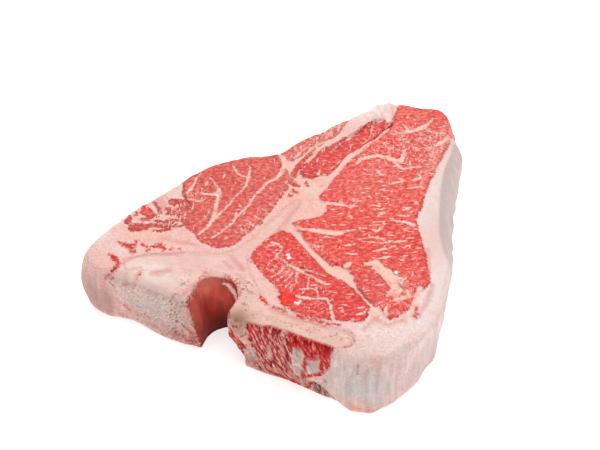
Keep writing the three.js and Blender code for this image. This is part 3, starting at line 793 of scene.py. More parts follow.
def round_the_saw_edge(points):
    """Rolls the edge between the saw cut and the upper face onto a quarter circle."""
    radius = np.interp(points[:, 0], EDGE_X, EDGE_RADIUS)
    forward = np.interp(points[:, 0], SAW_LINE_X, SAW_LINE_Y) + radius - points[:, 1]
    upward = points[:, 2] - (THICKNESS - radius)
    away = np.hypot(forward, upward)
    corner = (forward > 0) & (upward > 0) & (away > radius) & (points[:, 0] < EDGE_X[-1])
    share = np.where(corner, radius / np.maximum(away, 0.1), 1)
    points[:, 1] += forward * (1 - share)
    points[:, 2] -= upward * (1 - share)


def carve_relief(piece):
    """Moves the skin's points by lumps, folds, grooves, the trimmed slope and the soft pulls."""
    points = read_points(piece)
    normals = read_points(piece, "normal")
    fields = tissue_fields(points)
    swell = np.clip(np.minimum(fields["lean"], -fields["vein"]) / SWELL_WIDTH, -1, 1)
    height = LEAN_SWELL * swell
    for amount, size in LUMPS:
        height += amount * smooth_noise(points, size, 40 + int(size))
    height += RIDGE_LUMPS * closeness(points, *RIDGE) * smooth_noise(points, RIDGE_LUMP_SIZE, 61)
    wall = np.clip(1 - np.abs(normals[:, 2]) * UPRIGHT_SHARPNESS, 0, 1)
    height += wall * FOLD_HEIGHT * smooth_noise(points / FOLD_SIZE, 1, 77)
    for name, drop in (("crease", CREASE_DROP), ("slit", SLIT_DROP)):
        height -= drop * np.clip(fields[name] + GROOVE_EDGE, 0, 2 * GROOVE_EDGE)
    height *= np.clip(points[:, 2] / RESTING_BAND, 0, 1)
    points += normals * height[:, None]
    near_the_top = np.clip((points[:, 2] - TRIM_SLOPE_START_Z) / TRIM_SLOPE_FADE, 0, 1)
    rise = (points[:, 1] - TRIM_SLOPE_START_Y) * TRIM_SLOPE_RISE
    trimmed = np.clip(np.minimum(fields["trimmed"], rise), 0, TRIM_SLOPE_WIDTH)
    points[:, 2] -= TRIM_SLOPE * near_the_top * trimmed
    round_the_saw_edge(points)
    for middle, reach, move in PULLS:
        points += closeness(points, middle, reach)[:, None] * move
    low, high = np.array(CAD_LOW) / MM, np.array(CAD_HIGH) / MM
    write_points(piece, np.clip(points, low, high))


carve_relief(whole)
print("relief carved")

# %% [markdown]
# ## Cutting the pieces
# Every inner piece is the part of the whole inside its knife. The fat is what is left when all knives have
# gone through, just as it is on the real steak. Neighbours then share their seams exactly.

# %% Cut the pieces
SHARP_EDGE = math.radians(50)


def duplicate(piece, name):
    """A copy of a piece with its own mesh."""
    twin = bpy.data.objects.new(name, piece.data.copy())
    bpy.context.collection.objects.link(twin)
    return twin


def cut(piece, knife, operation):
    """Cuts the piece with the knife, keeping the inside or the outside."""
    apply_modifier(piece, "BOOLEAN", operation=operation, object=knife, solver="MANIFOLD")


pieces = {}
for node in INNER_NODES:
    pieces[node] = duplicate(whole, "raw_" + node)
    cut(pieces[node], knives[node], "INTERSECT")
pieces["fat"] = whole
whole.name = "raw_fat"
for node in INNER_NODES:
    cut(pieces["fat"], knives[node], "DIFFERENCE")
for knife in knives.values():
    bpy.data.objects.remove(knife)
for node, piece in pieces.items():
    only(piece)
    bpy.ops.object.shade_smooth_by_angle(angle=SHARP_EDGE)
    print(node, "has", len(piece.data.polygons), "faces")

# %% [markdown]
# ## Ground colours
# A colour attribute carries the ground colour of each tissue, like the first thin washes of a painting:
# one ground, then soft round patches laid over it. A patch has a middle, a reach and a strength, and runs
# through the whole thickness where it has no height. The fine pattern comes later, in the materials. Beyond
# the line where the cap was trimmed, painted shade greys the fat where the cap turns down into its side
# wall, with less of it at the back of that wall. Some washes on the fat's walls are painted shade too, and
# the canal's washes hold painted light and painted shade. Colours are written as sRGB hex values, as a
# colour picker shows them, and made linear by one function.

# %% Ground colours
def linear(hex_colour):
    """An sRGB hex colour as linear red, green and blue."""
    values = [int(hex_colour[place : place + 2], 16) / 255 for place in (1, 3, 5)]
    return [v / 12.92 if v <= 0.04045 else ((v + 0.055) / 1.055) ** 2.4 for v in values]


LEAN_GROUND = {
    "strip_eye": "#ee5047",
    "inner_strip": "#e73832",
    "tenderloin": "#df6157",
    "side_muscle": "#cc4a44",
    "outer_flank": "#e27466",
    "inner_flank": "#e4403a",
}
LEAN_WASHES = [
    ("#e96a5f", (22, 18), (20, 18), 0.8),
    ("#f07066", (22, 84), (14, 8), 0.8),
    ("#dd6f66", (38, 68), (14, 9), 0.7),
    ("#e6463c", (52, -8), (14, 12), 0.4),
    ("#e05650", (52, -46), (12, 9), 0.5),
    ("#e8382e", (50, -22), (22, 17), 0.5),
    ("#d24c40", (-50, -14), (12, 14), 0.7),
    ("#dc2c26", (38, -66), (12, 7), 0.45),
    ("#f03c26", (16.5, -72), (5.5, 4.5), 0.95),
    ("#d6605a", (40, 60), (12, 20), 0.6),
    ("#f2948a", (49, 52), (4, 24), 0.7),
    ("#ee4a3c", (40, -16), (22, 12), 0.4),
    ("#e8442f", (33, 3), (4, 4), 0.4),
    ("#e64a36", (-4.5, -31), (3, 4), 0.6),
    ("#d2403c", (0, 44), (6, 12), 0.5),
    ("#5e140e", (-70, -93, 28), (7, 8, 16), 1),
    ("#c83a34", (-9, 15), (6, 5), 0.7),
    ("#c2443e", (-62, -37), (6, 6), 0.6),
    ("#d8665c", (-54, -40), (5, 9), 0.7),
    ("#e03a34", (-76, -46), (6, 4), 0.95),
    ("#d2303a", (-81, -56), (2, 4), 0.9),
    ("#c8343a", (-74, -60), (4, 4), 0.8),
    ("#b23830", (-63, -51), (7, 5), 0.8),
    ("#c93432", (-31, -53), (5, 4), 0.7),
    ("#e0625a", (-43, 2.4), (4, 2.4), 0.5),
    ("#f0564a", (-56, -66), (5, 3), 0.9),
    ("#d83236", (-73, -83), (6, 4), 0.95),
    ("#c23436", (-71, -73), (7, 3.4), 0.9),
]
FAT_GROUND = "#f8c6bc"
# Tints of the fat, with some painted shade and painted light among them.
FAT_WASHES_LIGHT_AND_SHADE = [
    ("#f7b8a7", (-8, -2), (12, 26), 0.8),
    ("#efd9cc", (-5, 3), (7, 6), 0.6),
    ("#f7b8a8", (-66, -60), (16, 8), 0.6),
    ("#efd3c6", (-69, -27), (6, 7), 0.7),
    ("#f6c6bc", (-80, -72, 36), (8, 12, 9), 0.7),
    ("#ad8276", (-86, -80, 12), (12, 22, 16), 1),
    ("#ae857b", (-78, -92, 12), (9, 8, 16), 0.9),
    ("#c98a78", (-88, -80, 26), (4, 16, 10), 0.5),
    ("#f4e4dc", (-75, -78, 36), (5, 4, 8), 0.6),
    ("#fdece8", (-88, -66, 34), (6, 12, 10), 0.9),
    ("#f3c3b3", (55, -36), (11, 10), 0.7),
    ("#f7d2cb", (68, -72, 36), (24, 20, 12), 0.8),
    ("#faeae6", (80, -40, 36), (12, 40, 10), 0.9),
    ("#fbe3dd", (62, -74, 36), (14, 9, 8), 0.6),
    ("#f2e0da", (57, 26, 36), (12, 60, 12), 0.9),
    # Painted shade: these three greys darken the lower walls of the cap, at the front corner and along the
    # right side.
    ("#c4bfbd", (64, -92, 17), (22, 12, 19), 0.95),
    ("#d4c6c3", (88, -60, 14), (12, 44, 18), 0.8),
    ("#b5a5a2", (78, 8, 12), (18, 38, 18), 0.95),
    ("#e5ad9a", (62, -96, 5), (5, 6, 6), 0.75),
    ("#e4ae9e", (70, -95, 2), (5, 6, 5), 0.75),
    # Partly painted light: the ridge's fat is pale cream, and this wash lightens it further to lift the shade
    # on its front slope.
    ("#fbeae4", (3, 76, 38), (14, 14, 12), 0.95),
    ("#f6bdb2", (26, 46), (20, 12), 0.4),
]
BONE_GROUND = "#efc9be"
BONE_WASHES = [
    ("#f0e0d6", (-50, -83, 36), (18, 7, 10), 0.9),
    ("#eebdb4", (-34, -74, 36), (12, 10, 10), 0.5),
    ("#f5c2b8", (-14, -40, 36), (6, 24, 10), 0.8),
    ("#f0a9a4", (-6.5, -15, 36), (2.5, 10, 10), 0.7),
    ("#eec6c0", (-16, -60, 36), (9, 7, 10), 0.7),
    ("#e3bba8", (0, -80, 36), (6, 9, 10), 0.7),
    ("#eec2b2", (30, -85, 36), (30, 5, 10), 0.8),
    ("#c79a80", (0, -90, 36), (6, 4, 6), 0.8),
    ("#cbb9b2", (-48, -93, 19), (22, 5, 16), 1),
    ("#d3aea8", (-58, -93, 6), (26, 5, 6), 0.8),
    ("#c08478", (-30, -93, 6), (10, 5, 6), 0.8),
    ("#b48f82", (-29, -93, 22), (6, 5, 16), 0.6),
    ("#a87c62", (0, -93, 33), (6, 5, 8), 1),
    ("#b08674", (-1, -93, 25), (6, 5, 5), 0.8),
    ("#bc7c70", (16, -93, 6), (16, 5, 7), 0.95),
    ("#d0928a", (16, -93, 24), (14, 5, 12), 0.8),
    ("#87604f", (44, -93, 3), (4.5, 5, 4), 1),
    ("#c4b8b3", (50, -93, 13), (6, 5, 6), 0.9),
]
# Painted shade: the grey laid over the fat beyond the trim line, where the cap turns down into its wall. Less
# of it lies at the back of that wall.
TRIMMED_SIDE_SHADE_COLOUR = "#cdb9b5"
TRIMMED_SIDE_SHADE_SHARE = 0.9
TRIMMED_SIDE_SHADE_EDGE = 1.2
TRIMMED_SIDE_SHADE_FROM_Y = -34
TRIMMED_SIDE_SHADE_FULLY_Y = -6
LESS_SHADE_AT_BACK = ((58, 86, 4), (40, 26, 20))
LESS_SHADE_SHARE = 0.85
# The canal's own red lining, with painted light at its upper left and painted shade, down to near black, deep
# inside.
CANAL_GROUND = "#a2231b"
CANAL_WASHES_LIGHT_AND_SHADE = [
    # Painted light on the upper left of the canal.
    ("#f68c78", (-24, -76, 31), (7, 8, 8), 0.95),
    ("#d8594b", (-18, -73, 25), (8, 8, 12), 0.9),
    ("#c0120a", (-9, -76, 29), (4, 6, 7), 0.9),
    # Painted shade: these three near-black washes darken the deep, lower part of the canal.
    ("#4c0503", (-8, -84, 18), (6, 10, 10), 0.95),
    ("#260302", (-7, -90, 10), (6, 9, 12), 0.95),
    ("#330402", (-15, -80, 3), (12, 14, 9), 0.95),
    ("#cf6658", (-26, -89, 21), (4, 6, 16), 0.9),
]


def washed(points, ground, washes):
    """The ground colour with each wash laid over it, strongest at the wash's middle."""
    colour = np.tile(linear(ground), (len(points), 1))
    for hex_colour, middle, reach, strength in washes:
        cover = strength * closeness(points, middle, reach)[:, None]
        colour += cover * (linear(hex_colour) - colour)
    return colour


def mask(points, patches):
    """0 to 1 at each point, for soft patches of (middle, reach, strength) laid over each other."""
    bare = np.ones(len(points))
    for middle, reach, strength in patches:
        bare *= 1 - strength * closeness(points, middle, reach)
    return 1 - bare


def fat_colours(points, fields):
    """The ground colour of the fat, with painted shade greying it beyond the line where the cap was trimmed.
    """
    colour = washed(points, FAT_GROUND, FAT_WASHES_LIGHT_AND_SHADE)
    # Painted shade beyond the trim line. It fades in from the front and is lighter at the back of the wall.
    cover = TRIMMED_SIDE_SHADE_SHARE * np.clip(fields["trimmed"] / TRIMMED_SIDE_SHADE_EDGE + 0.5, 0, 1)
    cover *= np.clip((points[:, 1] - TRIMMED_SIDE_SHADE_FROM_Y) / (TRIMMED_SIDE_SHADE_FULLY_Y - TRIMMED_SIDE_SHADE_FROM_Y), 0, 1)
    cover *= 1 - LESS_SHADE_SHARE * closeness(points, *LESS_SHADE_AT_BACK)
    return colour + cover[:, None] * (linear(TRIMMED_SIDE_SHADE_COLOUR) - colour)


def lean_colours(points, fields):
    """The ground colour of the nearest muscle at each point, with its washes."""
    names = list(LEAN_GROUND)
    nearest = np.argmax([fields[name] for name in names], axis=0)
    grounds = np.array([linear(LEAN_GROUND[name]) for name in names])[nearest]
    cover = mask(points, [patch for _, *patch in LEAN_WASHES])
    return grounds * (1 - cover[:, None]) + washed(points, "#000000", LEAN_WASHES)


# %% [markdown]
# ## Marbling
# Marbling is fat inside the muscle, in flecks a few millimetres long. It isn't the same all over: the strip
# loin has slanting flecks at its lower right, upright ones along the fat cap and a web at its top, while
# the tenderloin is nearly clear. Three soft masks say how much of each kind there is. A fourth one marks
# where the fat of the cap is calm, without folds or clouds.

# %% How much marbling
SLANTING = [
    ((30, 10), (34, 60), 0.4),
    ((48, -14), (16, 17), 0.95),
    ((60, -26), (14, 12), 0.6),
    ((26, -30), (14, 8), 0.45),
    ((44, -44), (12, 8), 0.35),
    ((46, 8), (10, 8), 0.7),
    ((36, 28), (16, 12), 0.45),
    ((40, -62), (16, 8), 0.35),
]
UPRIGHT = [
    ((68, -42), (7, 10), 0.4),
    ((-18, 36), (9, 18), 0.95),
    ((-62, -44), (13, 13), 0.9),
    ((6, 62), (6, 10), 0.6),
    ((-42, -20), (22, 30), 0.2),
    ((16, -60), (16, 8), 0.6),
]
CALM_FAT = [
    ((74, 18), (22, 44), 0.85),
    ((84, -34), (12, 24), 0.7),
]
WEB = [
    ((48, 52), (4, 24), 0.9),
    ((66, -52), (9, 12), 1),
    ((42, 66), (11, 18), 0.75),
    ((30, 40), (20, 22), 0.45),
    ((24, 58), (16, 16), 0.8),
    ((-13, 50), (7, 14), 0.8),
    ((-60, -38), (9, 8), 0.45),
    ((64, -34), (8, 10), 0.5),
    ((14, -38), (9, 6), 0.6),
    ((6, -56), (12, 9), 0.7),
    ((32, -73), (9, 5), 0.7),
    ((-70, -50), (14, 14), 0.35),
    ((-58, -24), (8, 6), 0.6),
    ((-20, -38), (6, 16), 0.6),
    ((-4, -44), (7, 8), 0.6),
    ((12, 8), (10, 10), 0.25),
]

# %% [markdown]
# ## The sawn marrow
# The saw opened the spongy bone at the front. Red marrow fills a net of pale bone walls there, and at the
# right it is solid red. Some of it is pale, some of the sponge is dry, and at the lower right its pores
# stand open. A torn white membrane hangs in the canal. These strokes are drawn on the upright face, as
# (x, z, width). Each paint has a softness of its edge, and colours for the dark and light strands in it.
# SPECKLED, on the upper face, is where cut vessels leave many dark specks.

# %% Sawn marrow
PALE_MARROW = [
    [(7, 7, 6), (20, 6, 9), (34, 6, 9)],
    [(8, 14, 5), (20, 12, 6), (34, 13, 6)],
    [(33, 30, 4), (42, 27, 5)],
]
MARROW_NET = [
    [(8, 34, 7), (8, 25, 6)],
    [(14, 36, 6), (14, 28, 8), (12, 19, 7), (13, 12, 7)],
    [(20, 32, 7), (21, 25, 7), (22, 18, 6), (19, 12, 6)],
    [(27, 32, 7), (26, 24, 6), (27, 17, 5), (25, 11, 5)],
    [(5, 18, 2), (9, 20, 3)],
    [(-3, 27, 1.6), (0, 29, 1.6)],
    [(30, 12, 3.6), (36, 10, 3)],
    [(9, 7, 1.6), (12, 3, 1.6)],
    [(25, 8, 1.6), (27, 5, 1.6)],
]
SOLID_MARROW = [
    [(17, 38.4, 3.4), (24, 38, 5), (32, 36.4, 8), (40, 34.6, 11), (45, 33.6, 9), (46.4, 27, 7),
     (44.6, 22, 4)],
    [(30, 33, 5), (37, 29, 8), (38, 26, 6), (35, 19, 2.4), (36, 16, 2)],
    [(9, 34, 2), (7, 29, 3), (6.4, 22, 2.4)],
    [(14, 34, 2.4), (14.6, 31, 2)],
    [(45, 19, 2.6), (43, 16.4, 3.4), (40, 13.4, 2.2), (35.6, 10.4, 2)],
    [(40.6, 8.6, 1.4), (38, 4, 2.2), (36.6, 1.6, 2)],
    [(14, 6.4, 1.4), (21, 3.8, 2.4), (28, 2.6, 3.4), (32, 1.6, 2.6)],
    [(-5, 24, 3), (-3.6, 19.6, 6), (0, 16.4, 5), (3.6, 15, 3)],
    [(-62.6, 12, 1.2)], [(-21.6, 7, 2.4)], [(-29.6, 14.8, 1.6), (-26.6, 11.4, 1.2)],
]
DRY_BONE = [
    [(39, 22, 4.6), (40, 18, 4)],
    [(31.6, 27, 4.4), (32.4, 21, 3)],
    [(7, 14, 3.4), (9, 11, 2.6)],
    [(29, 15.4, 3.4), (33, 14, 2.6)],
]
OPEN_SPONGE = [
    [(41, 6.6, 3.4), (43.4, 4.4, 6), (47, 2.4, 4.4), (50.6, 1, 2)],
]
FRONT_PAINTS = {
    "pale_marrow": (
        PALE_MARROW, 1.6, [(0.36, "#a4564e"), (0.5, "#c5837a"), (0.64, "#dba99c")],
    ),
    "marrow_net": (
        MARROW_NET, 0.4, [(0.36, "#6e0c10"), (0.47, "#b83236"), (0.56, "#dc8078"), (0.66, "#efc0b2")],
    ),
    "solid_marrow": (
        SOLID_MARROW, 0.5, [(0.35, "#860a0e"), (0.46, "#c22124"), (0.56, "#da4842"), (0.66, "#f39d90")],
    ),
    "dry_bone": (
        DRY_BONE, 1.5, [(0.36, "#a08a82"), (0.5, "#c2b1a9"), (0.64, "#d8c8bf")],
    ),
    "open_sponge": (
        OPEN_SPONGE, 0.5, [(0.38, "#54302a"), (0.48, "#90604f"), (0.56, "#b68a7a"), (0.66, "#d2b0a2")],
    ),
}
MEMBRANE = [
    [(-24.6, 35, 1), (-21, 35.2, 2.2), (-18.6, 34.8, 1.2)],
    [(-17.6, 31.4, 1.4), (-14.4, 30, 3.6), (-11, 27, 4.4), (-9.2, 23.4, 2.6), (-8.4, 20.6, 1)],
    [(-7.4, 33.6, 2), (-6, 29, 2.2), (-5, 23, 1.6)],
]
SPECKLED = [
    [(-8, -64, 6), (-4, -70, 8), (-1, -78, 10), (1, -88, 8)],
    [(6, -86, 7), (30, -86, 8), (42, -84, 11), (52, -83.4, 9)],
    [(-36, -76, 5), (-33, -84, 9), (-35, -93, 9)],
    [(-22, -60, 3), (-14, -62, 4)],
    [(-64, -84, 4), (-56, -90, 4)],
]
print("sawn face drawn")

# %% [markdown]
# ## Writing the fields into the meshes
# Attributes belong to the points of a mesh. A float attribute holds a depth, and a colour attribute holds
# a ground colour or three masks at once.

# %% Write the attributes
def write_depth(piece, name, values):
    """Stores one number a point."""
    attribute = piece.data.attributes.new(name, "FLOAT", "POINT")
    attribute.data.foreach_set("value", np.ascontiguousarray(values, dtype=np.float32))


def write_colour(piece, name, rows):
    """Stores one linear colour a point."""
    attribute = piece.data.attributes.new(name, "FLOAT_COLOR", "POINT")
    four = np.ones((len(rows), 4), dtype=np.float32)
    four[:, :3] = rows
    attribute.data.foreach_set("color", four.ravel())


FIELD_NAMES = ["lean", "vein", "blood", "crease", "glint", "slit", "blush", "bone", "sawn", "canal"]


def paint(piece):
    """Writes all depths and ground colours that the materials read."""
    points = read_points(piece)
    fields = tissue_fields(points)
    moved = shaken(points, SHAKE_SEED)
    for name in FIELD_NAMES:
        write_depth(piece, name, fields[name])
    for name, (strokes, _, _) in FRONT_PAINTS.items():
        write_depth(piece, name, stroke_depth(moved, strokes, 0, 2))
    write_depth(piece, "lively", 1 - mask(points, CALM_FAT))
    write_depth(piece, "speckled", stroke_depth(moved, SPECKLED))
    write_depth(piece, "membrane", stroke_depth(moved, MEMBRANE, 0, 2))
    write_colour(piece, "lean_colour", lean_colours(points, fields))
    write_colour(piece, "fat_colour", fat_colours(points, fields))
    write_colour(piece, "bone_colour", washed(points, BONE_GROUND, BONE_WASHES))
    write_colour(piece, "canal_colour_light_and_shade", washed(points, CANAL_GROUND, CANAL_WASHES_LIGHT_AND_SHADE))
    masks = [mask(points, patches) for patches in (SLANTING, UPRIGHT, WEB)]
    write_colour(piece, "marbling", np.stack(masks, axis=1))


for piece in pieces.values():
    paint(piece)
print("attributes written")

# %% [markdown]
# ## Node helpers
# Every material below is a tree of nodes. One function adds a node, sets its options and fills its inputs:
# a socket is linked, anything else becomes the input's value. The others build what comes back in several
# materials: colours laid over each other, light and shade from a pattern, a pattern cut off at a level,
# noise with long grains, and a test for upright walls. Smooth noise seldom leaves the range from NOISE_LOW
# to NOISE_HIGH, so that range is mapped to light and shade.

# %% Node helpers
NOISE_LOW = 0.3
NOISE_HIGH = 0.7


def add(tree, kind, inputs=None, **options):
    """Adds a node with its options, and fills its inputs with values or links."""
    node = tree.nodes.new(kind)
    for name, value in options.items():
        setattr(node, name, value)
    for name, value in (inputs or {}).items():
        if isinstance(value, bpy.types.NodeSocket):
            tree.links.new(value, node.inputs[name])
        else:
            node.inputs[name].default_value = value
    return node


def colour_of(hex_colour):
    """A hex colour as the four linear values that a colour socket takes."""
    return (*linear(hex_colour), 1)


def layered(tree, colour, *layers):
    """Lays each (cover, colour) over the colours below it, like glazes on a painting."""
    for cover, layer in layers:
        above = colour_of(layer) if isinstance(layer, str) else layer
        mix = add(tree, "ShaderNodeMix", {0: cover, 6: colour, 7: above}, data_type="RGBA")
        colour = mix.outputs[2]
    return colour


def shaded(tree, colour, pattern, darkest, brightest):
    """The colour made darker and brighter by a smooth pattern."""
    light = add(
        tree, "ShaderNodeMapRange", {0: pattern, 1: NOISE_LOW, 2: NOISE_HIGH, 3: darkest, 4: brightest}
    ).outputs[0]
    return add(tree, "ShaderNodeVectorMath", {0: colour, "Scale": light}, operation="SCALE").outputs[0]


def over_level(tree, value, level, edge, most):
    """0 where the value is below the level, rising to the most within the edge above it."""
    over = add(tree, "ShaderNodeMath", {0: value, 1: level}, operation="SUBTRACT").outputs[0]
    return add(tree, "ShaderNodeMapRange", {0: over, 1: 0, 2: edge, 3: 0, 4: most}).outputs[0]


def place_in_mm(tree):
    """The place on the object, in mm."""
    place = add(tree, "ShaderNodeTexCoord").outputs["Object"]
    return add(tree, "ShaderNodeVectorMath", {0: place, "Scale": 1 / MM}, operation="SCALE").outputs[0]


def stretched_noise(tree, place, turn, size, detail=2):
    """Noise whose grains have this size in mm along each axis, turned by these angles in degrees."""
    angles = [math.radians(angle) for angle in turn]
    turned = add(tree, "ShaderNodeMapping", {"Vector": place, "Rotation": angles}, vector_type="POINT")
    squeezed = add(
        tree, "ShaderNodeVectorMath", {0: turned.outputs[0], 1: [1 / length for length in size]},
        operation="MULTIPLY",
    )
    return add(
        tree, "ShaderNodeTexNoise",
        {"Vector": squeezed.outputs[0], "Scale": 1, "Detail": detail, "Roughness": 0.6},
    ).outputs["Fac"]


def upright_share(tree):
    """1 where the surface stands upright, 0 where it lies flat."""
    normal = add(tree, "ShaderNodeNewGeometry").outputs["Normal"]
    tilt = add(tree, "ShaderNodeSeparateXYZ", {0: normal}).outputs["Z"]
    tilt = add(tree, "ShaderNodeMath", {0: tilt}, operation="ABSOLUTE").outputs[0]
    return add(tree, "ShaderNodeMapRange", {0: tilt, 1: 0.7, 2: 0.3}).outputs[0]


def new_group(name):
    """An empty node group that will give a colour and a height, and the place in it."""
    tree = bpy.data.node_groups.new(name, "ShaderNodeTree")
    for output, kind in (("Colour", "NodeSocketColor"), ("Height", "NodeSocketFloat")):
        tree.interface.new_socket(output, in_out="OUTPUT", socket_type=kind)
    return tree, place_in_mm(tree)


# %% [markdown]
# ## Raw lean
# Cut across, a muscle shows its fibre bundles as small patches 1 to 2 mm wide, each a little lighter or
# darker, in a net of thin pale skins. On the side walls the bundles run up and down, so the pattern is
# stretched along z, and silver skin clings to them. The marbling is drawn from stretched noise, cut off at
# a level that the masks move up and down, and the net follows the middle values of a smooth noise.

# %% Raw lean
BUNDLE_WIDTH = 1.6
BUNDLE_CONTRAST = 0.14
BUNDLE_RELIEF = 1.2
MOTTLE_SIZE = (2.4, 1.7, 2.4)
FIBRE_SQUEEZE = 0.2
SILVER_SIZE = (4, 4, 34)
SILVER_COVER = 0.65
SILVER_COLOUR = "#f6beb0"
GRAIN_TURN = 30
UPRIGHT_TURN = 108
FLECK_LENGTH = 5
FLECK_WIDTH = 1.8
FLECK_LEVEL = 0.67
FLECK_LEVEL_DROP = 0.13
FLECK_EDGE = 0.05
FLECK_COVER = 0.88
WEB_WIDTH = 3.4
STRAND_BREADTH = 0.045
STRAND_EDGE = 0.02
STRAND_COVER = 0.75
RIM_WIDTH = 1.4
RIM_SHADE = 0.86
MARBLING_COLOUR = "#ffcabb"
PALE_MOTTLE_COLOUR = "#ff9484"
DEEP_MOTTLE_COLOUR = "#cc2623"


def raw_lean_group():
    """Colour and height of raw muscle, from its ground colour and its marbling masks."""
    tree, place = new_group("raw lean")
    ground = add(tree, "ShaderNodeAttribute", attribute_name="lean_colour").outputs["Color"]
    masks = add(tree, "ShaderNodeAttribute", attribute_name="marbling").outputs["Color"]
    masks = add(tree, "ShaderNodeSeparateColor", {0: masks}).outputs
    silver = stretched_noise(tree, place, (0, 0, 0), SILVER_SIZE, detail=4)
    squeezed_from_above = (0, 0, THICKNESS * (1 - FIBRE_SQUEEZE))
    place = add(
        tree, "ShaderNodeMapping",
        {"Vector": place, "Location": squeezed_from_above, "Scale": (1, 1, FIBRE_SQUEEZE)},
    ).outputs[0]

    bundles = add(
        tree, "ShaderNodeTexVoronoi",
        {"Vector": place, "Scale": 1 / BUNDLE_WIDTH, "Randomness": 1}, feature="F1",
    )
    shade = add(tree, "ShaderNodeSeparateColor", {0: bundles.outputs["Color"]}).outputs[0]
    mottle = stretched_noise(tree, place, (0, 0, -GRAIN_TURN), MOTTLE_SIZE, detail=4)
    shade = add(tree, "ShaderNodeMapRange", {0: shade, 3: -BUNDLE_CONTRAST, 4: BUNDLE_CONTRAST}).outputs[0]
    light = add(
        tree, "ShaderNodeMapRange", {0: mottle, 1: NOISE_LOW, 2: NOISE_HIGH, 3: 0.82, 4: 1.2}
    ).outputs[0]
    light = add(tree, "ShaderNodeMath", {0: light, 1: shade}, operation="ADD").outputs[0]
    colour = add(tree, "ShaderNodeVectorMath", {0: ground, "Scale": light}, operation="SCALE").outputs[0]
    deep = add(tree, "ShaderNodeMapRange", {0: mottle, 1: 0.5, 2: 0.32, 3: 0, 4: 0.9}).outputs[0]
    pale = add(tree, "ShaderNodeMapRange", {0: mottle, 1: 0.5, 2: 0.66, 3: 0, 4: 0.5}).outputs[0]
    colour = layered(tree, colour, (deep, DEEP_MOTTLE_COLOUR), (pale, PALE_MOTTLE_COLOUR))

    rim = add(tree, "ShaderNodeAttribute", attribute_name="lean").outputs["Fac"]
    rim = add(tree, "ShaderNodeMapRange", {0: rim, 1: 0, 2: RIM_WIDTH, 3: RIM_SHADE, 4: 1}).outputs[0]
    colour = add(tree, "ShaderNodeVectorMath", {0: colour, "Scale": rim}, operation="SCALE").outputs[0]

    net = add(
        tree, "ShaderNodeTexNoise", {"Vector": place, "Scale": 1 / WEB_WIDTH, "Detail": 2, "Roughness": 0.5}
    ).outputs["Fac"]
    middle = add(tree, "ShaderNodeMath", {0: net, 1: 0.5}, operation="SUBTRACT").outputs[0]
    middle = add(tree, "ShaderNodeMath", {0: middle}, operation="ABSOLUTE").outputs[0]
    breadth = add(tree, "ShaderNodeMath", {0: masks[2], 1: STRAND_BREADTH}, operation="MULTIPLY").outputs[0]
    marbling = over_level(tree, breadth, middle, STRAND_EDGE, STRAND_COVER)
    for turn, amount in ((GRAIN_TURN, masks[0]), (UPRIGHT_TURN, masks[1])):
        grain = stretched_noise(tree, place, (0, 0, -turn), (FLECK_LENGTH, FLECK_WIDTH, FLECK_LENGTH))
        level = add(
            tree, "ShaderNodeMath", {0: amount, 1: -FLECK_LEVEL_DROP, 2: FLECK_LEVEL},
            operation="MULTIPLY_ADD",
        ).outputs[0]
        fleck = over_level(tree, grain, level, FLECK_EDGE, FLECK_COVER)
        marbling = add(tree, "ShaderNodeMath", {0: marbling, 1: fleck}, operation="MAXIMUM").outputs[0]

    silver = add(
        tree, "ShaderNodeMapRange", {0: silver, 1: 0.42, 2: 0.68, 3: 0.05, 4: SILVER_COVER}
    ).outputs[0]
    silver = add(tree, "ShaderNodeMath", {0: silver, 1: upright_share(tree)}, operation="MULTIPLY").outputs[0]
    colour = layered(tree, colour, (marbling, MARBLING_COLOUR), (silver, SILVER_COLOUR))
    height = add(
        tree, "ShaderNodeMath", {0: shade, 1: BUNDLE_RELIEF, 2: mottle}, operation="MULTIPLY_ADD"
    ).outputs[0]
    add(tree, "NodeGroupOutput", {"Colour": colour, "Height": height})
    return tree


# %% [markdown]
# ## Beef fat
# Fresh beef fat is firm and waxy: cream to pale pink, with soft pink clouds and a fine grain. On upright
# walls it hangs in soft folds, where light and shade run up and down. Where the fat is calm, all of this
# fades out.

# %% Beef fat
CLOUD_WIDTH = 7
GRAIN_WIDTH = 1.1
FOLD_GRAIN = (3.6, 3.6, 26)
FOLD_RELIEF = 2.5
PINK_CLOUD_COLOUR = "#f2aa9e"
PINK_ON_TOP = 0.6
PINK_ON_WALLS = 0.15


